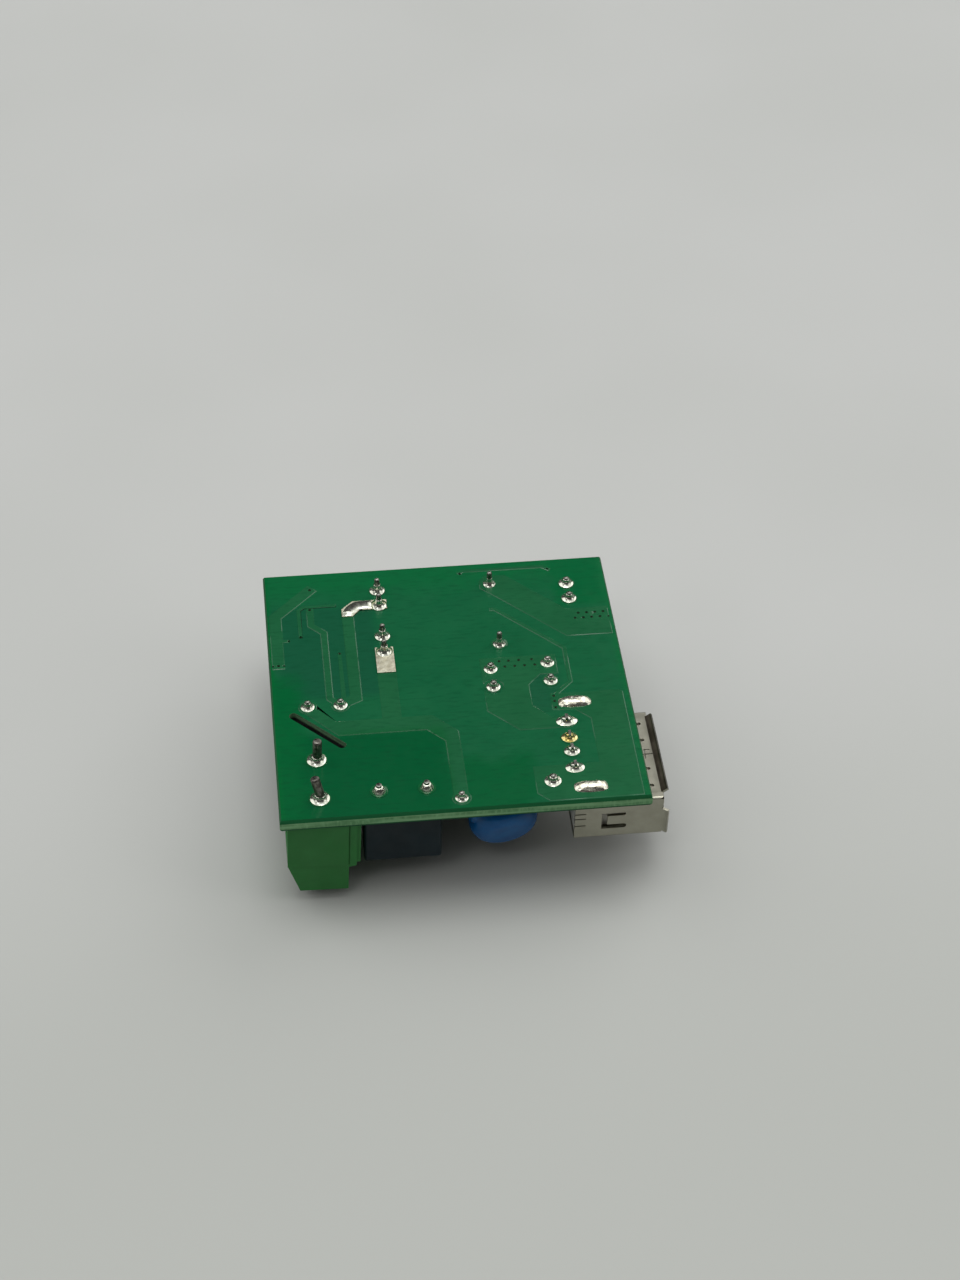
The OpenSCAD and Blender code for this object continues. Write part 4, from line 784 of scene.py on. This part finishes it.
@dataclass
class BareBoard:
    """The laminate with its mask, its broken edges and the copper under the mask.

    Its middle is in millimetres. The dome on the short tinned track follows dome_path: x, y and
    half width in millimetres from the track's lowest corner, and the way it runs in degrees.
    The dome_ends give the share of its height at each end, and how fast it grows inward.
    """

    middle: Pair
    level_tilt: float = 0.6
    bevel_tilt: float = 0.2
    wall_tilt: float = 0.5
    least_lean: float = 0.3
    least_share: float = 0.5
    shoulder_mm: float = 0.085
    hole_limit_mm: float = 2.4
    rim_mm: float = 0.035
    rim_deg: float = 12
    tin_edge_mm: float = 0.04
    smooth_deg: float = 60
    dome_mm: float = 0.17
    dome_ends: tuple[Pair, ...] = ((0.35, 3), (0.5, 4))
    dome_steps: int = 18
    dome_sides: int = 10
    dome_path: tuple[tuple[float, float, float, float], ...] = (
        (0.61, 0.04, 0.55, 90.0), (0.7, 0.55, 0.62, 75.0), (1.1, 1.12, 0.72, 47.0),
        (1.75, 1.65, 0.72, 15.0), (2.6, 1.75, 0.7, 0.0), (3.45, 1.75, 0.7, 0.0),
    )

    def mask(self) -> MaskFinish:
        """Solder mask over bare laminate, with the colour of what shows through it."""
        zones = (
            Zone((-18.6, -1.5), (-7.4, 13.5), (18, 81, 54), 1.8),
            Zone((8.2, -5.5), (12.0, 1.0), (22, 84, 55), 1.5),
            Zone((-30, 15.6), (30, 30), (10, 94, 52), 5.0),
            Zone((-30, -30), (-1.2, -7.0), (0, 80, 43), 1.6),
            Zone((-30, -30), (-16.5, 2), (0, 88, 45), 3.0),
            Zone((-1.2, -30), (7.6, -12), (4, 85, 46), 2.5),
            Zone((13.5, 10.9), (30, 30), (4, 91, 50), 1.5),
            Zone((19.0, -30), (30, 30), (14, 95, 53), 0.7),
            Zone((-30, -30), (-19.2, 30), (0, 92, 44), 0.7),
        )
        return MaskFinish("mask", (17, 88, 54), (20, 91, 56), zones, self.middle)

    def copper_mask(self) -> MaskFinish:
        """Solder mask over copper."""
        zones = (Zone((-30, -30), (-1.2, -7.0), (18, 88, 48), 1.6),)
        colours = (26, 88, 54), (29, 92, 57)
        return MaskFinish("mask_on_copper", *colours, zones, self.middle, roughness=0.12)

    def build_laminate(self) -> Piece:
        """Copy the board, with its own finish on each kind of face."""
        mesh = finish_mesh(merged("circuit_board"), 30)
        low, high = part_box("circuit_board")
        for face in mesh.polygons:
            face.material_index = self.kind_of(face, low, high)
        finishes = [self.mask(), Finishes.EDGE, Finishes.SCORE, Finishes.ROUTED]
        return add_piece("laminate", mesh, finishes, "laminate", "circuit_board")

    def kind_of(self, face: bpy.types.MeshPolygon, low: Vector, high: Vector) -> BoardFace:
        """Tell the mask, the board's edge, its scored bevels and the walls of its holes apart.

        Args:
            face: a face of the laminate.
            low: the laminate's lowest corner.
            high: its highest corner.

        Returns:
            The face's material slot.
        """
        tilt = abs(face.normal.z)
        if tilt > self.level_tilt:
            return BoardFace.MASK
        if tilt > self.bevel_tilt:
            return BoardFace.SCORE
        inset = min(min(face.center[i] - low[i], high[i] - face.center[i]) for i in (0, 1))
        return BoardFace.ROUTED if inset > self.shoulder_mm * MM else BoardFace.EDGE

    def build_copper(self, node: str, up: bool) -> Piece:
        """Copy a layer of tracks, with the mask flowing down their sides.

        Args:
            node: the CAD node of the tracks.
            up: whether the layer lies on the solder side.

        Returns:
            The new piece.
        """
        made = merged(node)
        low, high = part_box(node)
        foot = low.z if up else high.z
        for outline in self.walls(made):
            self.flare(outline, foot)
        rim = [e for e in made.edges if folded(e, self.rim_deg)
               and not any(self.at_foot(v, foot) for v in e.verts)]
        round_edges(made, rim, self.rim_mm, 2)
        mesh = finish_mesh(made, self.smooth_deg)
        return add_piece(node + "_masked", mesh, [self.copper_mask()], "masked_copper", node)

    def at_foot(self, vert: bmesh.types.BMVert, foot: float) -> bool:
        """Whether a point of a track lies on the laminate."""
        return abs(vert.co.z - foot) <= SAME_PLACE

    def flare(self, outline: set, foot: float) -> None:
        """Draw the foot of a track's wall outward, but leave the walls of small holes.

        Args:
            outline: the wall's faces.
            foot: height of the laminate's face, in metres.
        """
        verts = {v for face in outline for v in face.verts}
        size = max(max(v.co[i] for v in verts) - min(v.co[i] for v in verts) for i in (0, 1))
        if size < self.hole_limit_mm * MM:
            return
        moves = {}
        for vert in verts:
            if not self.at_foot(vert, foot):
                continue
            normals = [f.normal.xy.normalized() for f in vert.link_faces if f in outline]
            total = sum(normals, Vector((0.0, 0.0)))
            if total.length < self.least_lean:
                continue
            out = total.normalized()
            lean = max(out.dot(normals[0]), self.least_share)
            moves[vert] = out * (self.shoulder_mm * MM / lean)
        for vert, move in moves.items():
            vert.co += move.to_3d()

    def walls(self, made: BMesh) -> list[set]:
        """Group the upright faces of a layer by the outline that they follow."""
        upright = [f for f in made.faces if abs(f.normal.z) < self.wall_tilt]
        return clusters(upright, lambda f: [g for e in f.edges for g in e.link_faces])

    def build_tinned(self) -> Piece:
        """Copy the bare tinned tracks."""
        made = merged("tinned_tracks")
        ease_edges(made, self.tin_edge_mm)
        mesh = finish_mesh(made, self.smooth_deg)
        return add_piece("tinned_tracks_eased", mesh, [Finishes.TIN], "tin", "tinned_tracks")

    def dome_place(self, share: float) -> list[float]:
        """Where the dome runs: x, y, half width and turn, eased between the path's points."""
        along = share * (len(self.dome_path) - 1)
        k = min(int(along), len(self.dome_path) - 2)
        mix = along - k
        mix = mix * mix * (3 - 2 * mix)
        return [a + (b - a) * mix for a, b in zip(self.dome_path[k], self.dome_path[k + 1])]

    def build_dome(self) -> Piece:
        """Draw the solder on the short tinned track up into a dome, swept along it."""
        low, high = max(islands("tinned_tracks"), key=lambda box: (box[1] - box[0]).x)
        rings = []
        for i in range(self.dome_steps + 1):
            share = i / self.dome_steps
            x, y, half, turn = self.dome_place(share)
            across = Vector((-math.sin(math.radians(turn)), math.cos(math.radians(turn)), 0))
            middle = Vector((low.x + x * MM, low.y + y * MM, high.z))
            rise, fall = self.dome_ends
            swell = min(1.0, rise[0] + rise[1] * share, fall[0] + fall[1] * (1 - share))
            lift = Vector((0, 0, self.dome_mm * swell * MM))
            angles = [math.pi * j / self.dome_sides for j in range(self.dome_sides + 1)]
            rings.append(
                [middle + across * (math.cos(a) * half * MM) + lift * math.sin(a) for a in angles]
            )
        mesh = finish_mesh(swept(rings), self.smooth_deg)
        return add_piece("link_dome", mesh, [Finishes.SOLDER], "tin")

    def build(self) -> None:
        """Build the laminate, both layers of copper and the tinned tracks."""
        self.build_laminate()
        self.build_copper("solder_side_tracks", True)
        self.build_copper("component_side_tracks", False)
        self.build_tinned()
        self.build_dome()


@dataclass
class SolderWork:
    """All the solder on the board, save the dome on the tinned track."""

    board_top: float
    tab_min_mm: float = 2.5
    tab_spread_mm: float = 0.1
    contact_spread_mm: tuple[float, ...] = (0.42, 0.12, 0.1, 0.3)

    def build(self) -> None:
        """Grow the joints."""
        for name, flare, more in (
            ("fuse", 0.55, {"neck": 0.4, "rise": 0.8, "seed": 5}),
            ("capacitor", 3.0, {"neck": 0.42, "rise": 0.9, "seed": 7}),
            ("transformer", 3.2, {"neck": 0.4, "seed": 9}),
            ("lamp", 3.0, {"neck": 0.4, "rise": 0.9, "seed": 11}),
            ("terminal", 2.4, {"neck": 0.5, "rise": 0.65, "unevenness_mm": 0.03, "seed": 13}),
        ):
            joints = JointField(name + "_joints", name + "_solder", flare=flare, **more)
            joints.build(self.board_top)
        self.build_port()

    def build_port(self) -> None:
        """Grow the mounds on the shell's tabs and the joints on the contacts."""
        boxes = islands("port_solder")
        tabs = [b for b in boxes if (b[1] - b[0]).x > self.tab_min_mm * MM]
        contacts = sorted((b for b in boxes if b not in tabs), key=lambda b: -b[0].y)
        fuller = Vector((0, self.tab_spread_mm, 0)) * MM
        mounds = JointField(
            "port_tab_mounds", "port_solder", neck=0.2, flare=0.5, waist=0.2, square=0.72,
            ridge=0.72, rise=0.85, unevenness_mm=0.12, seed=17, finish=Finishes.LUMPY,
            pads=[(low - fuller, high + fuller) for low, high in tabs],
        )
        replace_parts(mounds.build(self.board_top), "port_solder")
        reach = [Vector((r, 0, 0)) * MM for r in self.contact_spread_mm]
        wide = [(low - out, high + out) for (low, high), out in zip(contacts, reach)]
        for name, finish, seed, pads in (
            ("port_contact_joints", Finishes.SOLDER, 19, [wide[0]] + wide[2:]),
            ("port_golden_joint", Finishes.GOLDEN, 23, wide[1:2]),
        ):
            JointField(
                name, "port_solder", neck=0.4, flare=2.2, rise=0.7, unevenness_mm=0.03, seed=seed,
                finish=finish, pads=pads,
            ).build(self.board_top)


@dataclass
class TerminalBlock:
    """The green two-way block with its cages, pins and screws."""

    moulded_mm: float = 0.08
    cage_mm: float = 0.06
    pin_mm: float = 0.22

    def build(self) -> None:
        """Ease the housing and the metal inside it."""
        eased("terminal_housing", self.moulded_mm, Finishes.GREEN, "green_plastic")
        eased("terminal_cages", self.cage_mm, Finishes.BRASS, "brass")
        eased("terminal_pins", self.pin_mm, Finishes.PIN, "lead_wire", 3)
        for node in ("terminal_screw_front", "terminal_screw_back"):
            eased(node, self.moulded_mm, Finishes.STEEL, "screw_steel")


@dataclass
class FuseCase:
    """The black radial fuse."""

    case_mm: float = 0.1
    lead_mm: float = 0.06

    def build(self) -> None:
        """Ease the case and its leads, and dress what is inside it."""
        eased("fuse_case", self.case_mm, Finishes.FUSE, "black_plastic")
        dress("fuse_base", Finishes.FUSE)
        eased("fuse_leads", self.lead_mm, Finishes.WIRE, "lead_wire")
        dress("fuse_link", Finishes.WIRE)


@dataclass
class SuppressionCapacitor:
    """The blue dipped disc."""

    smooth_deg: float = 60

    def build(self) -> None:
        """Smooth the disc and round its leads."""
        mesh = finish_mesh(merged("suppression_disc"), self.smooth_deg)
        finishes = [Finishes.BLUE]
        add_piece("suppression_disc_smooth", mesh, finishes, "blue_coating", "suppression_disc")
        round_leads("suppression_leads")


@dataclass
class Transformer:
    """Ferrite core, bobbin, winding, tapes and pins."""

    bobbin_mm: float = 0.08
    core_mm: float = 0.12
    tape_mm: float = 0.03

    def build(self) -> None:
        """Ease the moulded and sintered pieces and dress the rest."""
        eased("transformer_bobbin", self.bobbin_mm, Finishes.BOBBIN, "bobbin_plastic")
        for node in ("transformer_core_lower", "transformer_core_upper"):
            eased(node, self.core_mm, Finishes.FERRITE, "ferrite")
        dress("transformer_winding", Finishes.COPPER)
        dress("winding_tape", Finishes.TAPE)
        eased("core_tape", self.tape_mm, Finishes.TAPE, "yellow_tape")
        round_leads("primary_pins")
        round_leads("secondary_pins")


@dataclass
class Electrolytic:
    """One electrolytic capacitor, by the beginning and the ending of its nodes' names."""

    prefix: str
    suffix: str
    stripe_deg: float = 58
    stripe_middle_deg: float = -90
    stripe_proud_mm: float = 0.012
    stripe_mm: float = 0.03
    stripe_foot_mm: float = 0.8
    stripe_head_mm: float = 2.4
    steps: int = 14

    def node(self, part: str) -> str:
        """Name of one of the capacitor's nodes."""
        return f"{self.prefix}_{part}{self.suffix}"

    def build(self) -> None:
        """Dress the capacitor and print the stripe down its sleeve."""
        dress(self.node("can"), Finishes.CAN)
        dress(self.node("sleeve"), Finishes.SLEEVE)
        dress(self.node("seal"), Finishes.RUBBER)
        round_leads(self.node("leads"))
        self.build_stripe()

    def build_stripe(self) -> Piece:
        """Print a pale band down the sleeve, over the negative lead."""
        low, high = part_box(self.node("sleeve"))
        middle = (low + high) / 2
        outer = (high - low).x / 2 + self.stripe_proud_mm * MM
        inner = outer - self.stripe_mm * MM
        foot, head = low.z + self.stripe_foot_mm * MM, high.z - self.stripe_head_mm * MM
        rings = []
        for i in range(self.steps + 1):
            a = math.radians(self.stripe_middle_deg + self.stripe_deg * (i / self.steps - 0.5))
            out = Vector((math.cos(a), math.sin(a), 0))
            rings.append([Vector((middle.x, middle.y, z)) + out * r for r, z in (
                (outer, foot), (outer, head), (inner, head), (inner, foot))])
        mesh = finish_mesh(swept(rings))
        return add_piece(self.node("stripe"), mesh, [Finishes.STRIPE], "dark_sleeve")


@dataclass
class ChargingPort:
    """The folded shell, its insulator and contacts."""

    tail_mm: float = 0.5
    bend_mm: float = 0.3
    bend_segments: int = 4
    bend_min_mm: float = 5.0
    bend_deg: float = 60
    bend_reach_mm: float = 0.9
    cut_mm: float = 0.04
    cut_deg: float = 50
    lip_mm: float = 0.95
    lip_tilt: Pair = (0.3, 0.99)
    insulator_mm: float = 0.08

    def bends(self, made: BMesh) -> list[bmesh.types.BMEdge]:
        """Edges along x where the shell's sheet is folded, near its two sides."""
        middle = self.middle_y(made)
        outer = max(abs(v.co.y - middle) for v in made.verts)
        found = []
        for edge in made.edges:
            near, far = (v.co for v in edge.verts)
            side = abs(near.y - middle) > outer - self.bend_reach_mm * MM
            along = abs((near - far).normalized().x) > 0.99
            long_enough = edge.calc_length() > self.bend_min_mm * MM
            if side and along and long_enough and folded(edge, self.bend_deg):
                found.append(edge)
        return found

    def build_shell(self) -> Piece:
        """Copy the folded shell, with round bends along it, eased cuts and flared lips painted
        dark as a dark reflection.
        """
        made = merged("port_shell")
        round_edges(made, self.bends(made), self.bend_mm, self.bend_segments)
        ease_edges(made, self.cut_mm, from_deg=self.cut_deg)
        mesh = finish_mesh(made)
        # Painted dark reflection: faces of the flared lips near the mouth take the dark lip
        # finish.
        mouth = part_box("port_shell")[1].x - self.lip_mm * MM
        low, high = self.lip_tilt
        for face in mesh.polygons:
            flared = face.center.x > mouth and low < abs(face.normal.z) < high
            face.material_index = 1 if flared else 0
        finishes = [Finishes.SHELL, Finishes.PAINTED_DARK_LIP]
        return add_piece("port_shell_eased", mesh, finishes, "nickel_shell", "port_shell")

    def middle_y(self, made: BMesh) -> float:
        """Middle of a mesh along y."""
        places = [v.co.y for v in made.verts]
        return (min(places) + max(places)) / 2

    def build_contacts(self) -> Piece:
        """Copy the contacts, gold in the port and tinned where they pass the board."""
        made = merged("port_contacts")
        tinned_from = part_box("circuit_board")[0].z - self.tail_mm * MM
        bmesh.ops.bisect_plane(
            made, geom=made.verts[:] + made.edges[:] + made.faces[:], dist=1e-7,
            plane_co=(0, 0, tinned_from), plane_no=(0, 0, 1),
        )
        for face in made.faces:
            face.material_index = 1 if face.calc_center_median().z > tinned_from else 0
        mesh = finish_mesh(made)
        finishes = [Finishes.GOLD, Finishes.WIRE]
        return add_piece("port_contacts_plated", mesh, finishes, "brass", "port_contacts")

    def build(self) -> None:
        """Build the shell and what it holds."""
        self.build_shell()
        eased("port_insulator", self.insulator_mm, Finishes.WHITE, "white_plastic")
        self.build_contacts()


@dataclass
class SmallParts:
    """The lamp and the parts soldered flat on the component side."""

    moulded_mm: float = 0.06

    def build(self) -> None:
        """Ease the moulded bodies and leads, and dress the rest."""
        dress("lamp_lens", Finishes.LENS)
        round_leads("lamp_leads")
        for node in ("bridge_rectifier", "controller_chip", "output_diode", "clamp_diode"):
            eased(node, self.moulded_mm, Finishes.MOULDED, "black_plastic")
        for node in ("bridge_leads", "controller_leads", "output_diode_leads",
                     "clamp_diode_leads", "chip_resistor_ends", "chip_capacitor_ends"):
            dress(node, Finishes.WIRE)
        dress("chip_resistors", Finishes.RESISTOR)
        dress("chip_capacitors", Finishes.CERAMIC)


# ---- studio


@dataclass(frozen=True)
class Lamp:
    """A far lamp: where it hangs, how wide it looks and how strong it is."""

    name: str
    toward: Triple
    spread_deg: float
    strength: float


@dataclass
class Studio:
    """Pale ground, soft lamps and the camera."""

    board_middle: Vector
    ground_size: float = 60.0
    ground_colour: Colour = (188, 189, 186)
    # Painted shade: the ground's colour darkens towards the front, standing in for light that
    # falls off there; the faint clouds use the same colour.
    front_shade_and_cloud_colour: Colour = (176, 178, 173)
    painted_falloff_span: Pair = (-0.05, 0.03)
    roughness: float = 0.75
    specular: float = 0.2
    cloud_mm: float = 60
    cloud_share: float = 0.3
    sky_colour: Colour = (250, 251, 252)
    sky_span: Pair = (0.7, 0.92)
    low_light: float = 0.06
    top_light: float = 0.8
    backdrop_light: float = 0.5
    lamp_distance: float = 0.5
    lamps: tuple[Lamp, ...] = (
        Lamp("key", (0.03, 0.1, 0.99), 36, 1.1),
        Lamp("back_right", (0.58, 0.62, 0.54), 48, 0.9),
        Lamp("back_left", (-0.66, 0.36, 0.66), 48, 0.65),
        Lamp("side_right", (0.78, -0.05, 0.62), 44, 0.4),
        Lamp("fill", (-0.34, -0.46, 0.82), 12, 0.14),
        Lamp("left", (-0.8, -0.35, 0.5), 26, 0.15),
        Lamp("right", (0.84, -0.3, 0.46), 24, 0.12),
    )
    lens_mm: float = 69.257
    sensor_mm: float = 36
    clip_start: float = 0.01
    camera_from_mm: Triple = (-20.55, -193.66, 190.07)
    camera_axes: tuple[Triple, ...] = (
        (0.99391, -0.10935, 0.01397),
        (0.06495, 0.68331, 0.72723),
        (-0.08907, -0.72189, 0.68625),
    )

    def ground_material(self) -> Material:
        """Plain pale ground, with painted shade that darkens it towards the front as the light
        falls off, and a faint unevenness.
        """
        sheet = ShaderSheet("ground")
        # Painted shade: darker towards the front, where the light falls off.
        depth = sheet.span(sheet.axes(sheet.place)["Y"], *self.painted_falloff_span)
        plain = sheet.blend(depth, linear(self.front_shade_and_cloud_colour), linear(self.ground_colour))
        clouds = sheet.span(sheet.noise(self.cloud_mm, 2), *GLOSS_TURN, 0.0, self.cloud_share)
        tint = sheet.blend(clouds, plain, linear(self.front_shade_and_cloud_colour))
        sheet.set(Base_Color=tint, Roughness=self.roughness, Specular_IOR_Level=self.specular)
        return sheet.material

    def build_ground(self) -> Piece:
        """Lay the ground under the part."""
        half = self.ground_size / 2
        corners = [(-half, -half, 0), (half, -half, 0), (half, half, 0), (-half, half, 0)]
        mesh = bpy.data.meshes.new("ground")
        mesh.from_pydata(corners, [], [(0, 1, 2, 3)])
        mesh.materials.append(self.ground_material())
        ground = placed("ground", mesh)
        return ground

    def build_world(self) -> None:
        """Light the sky overhead and dim it towards the horizon, with a plain backdrop."""
        world = bpy.data.worlds.new("studio")
        world.use_nodes = True
        sheet = Sheet(world.node_tree)
        height = sheet.axes(sheet.node("ShaderNodeTexCoord").outputs["Generated"])["Z"]
        sky = sheet.span(height, *self.sky_span, self.low_light, self.top_light)
        camera_ray = sheet.node("ShaderNodeLightPath").outputs["Is Camera Ray"]
        backdrop = sheet.maths("MULTIPLY", camera_ray, self.backdrop_light)
        shader = world.node_tree.nodes["Background"]
        sheet.feed(shader.inputs["Strength"], sheet.maths("MAXIMUM", backdrop, sky))
        sheet.feed(shader.inputs["Color"], linear(self.sky_colour))
        bpy.context.scene.world = world

    def build_lamp(self, lamp: Lamp) -> None:
        """Hang a far, wide lamp in its direction from the part."""
        data = bpy.data.lights.new(lamp.name, "SUN")
        data.angle = math.radians(lamp.spread_deg)
        data.energy = lamp.strength
        hung = placed(lamp.name, data)
        toward = Vector(lamp.toward)
        hung.location = toward.normalized() * self.lamp_distance
        hung.rotation_euler = (-toward).to_track_quat("-Z", "Y").to_euler()

    def build_camera(self) -> None:
        """Stand the camera in front of the part and above it."""
        data = bpy.data.cameras.new("camera")
        data.sensor_width = self.sensor_mm
        data.lens = self.lens_mm
        data.clip_start = self.clip_start
        camera = placed("camera", data)
        turn = Matrix([Vector(axis) for axis in self.camera_axes]).transposed().to_4x4()
        place = self.board_middle + Vector(self.camera_from_mm) * MM
        camera.matrix_world = Matrix.Translation(place) @ turn
        bpy.context.scene.camera = camera

    def build(self) -> None:
        """Build the ground, the light and the camera."""
        self.build_ground()
        self.build_world()
        for lamp in self.lamps:
            self.build_lamp(lamp)
        self.build_camera()
        bpy.context.scene.view_settings.view_transform = "Standard"


def main() -> None:
    """Build every sub-assembly in order and report it."""
    logging.basicConfig(level=logging.INFO, format="%(message)s")
    low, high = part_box("circuit_board")
    middle = Vector(((low.x + high.x) / 2, (low.y + high.y) / 2, high.z))
    BareBoard((middle.x / MM, 0.0)).build()
    SolderWork(high.z).build()
    TerminalBlock().build()
    FuseCase().build()
    SuppressionCapacitor().build()
    Transformer().build()
    for prefix, suffix in (("bulk", ""), ("output", "_left"), ("output", "_right")):
        Electrolytic(prefix, suffix).build()
    ChargingPort().build()
    SmallParts().build()
    Studio(middle).build()


if __name__ == "__main__":
    main()
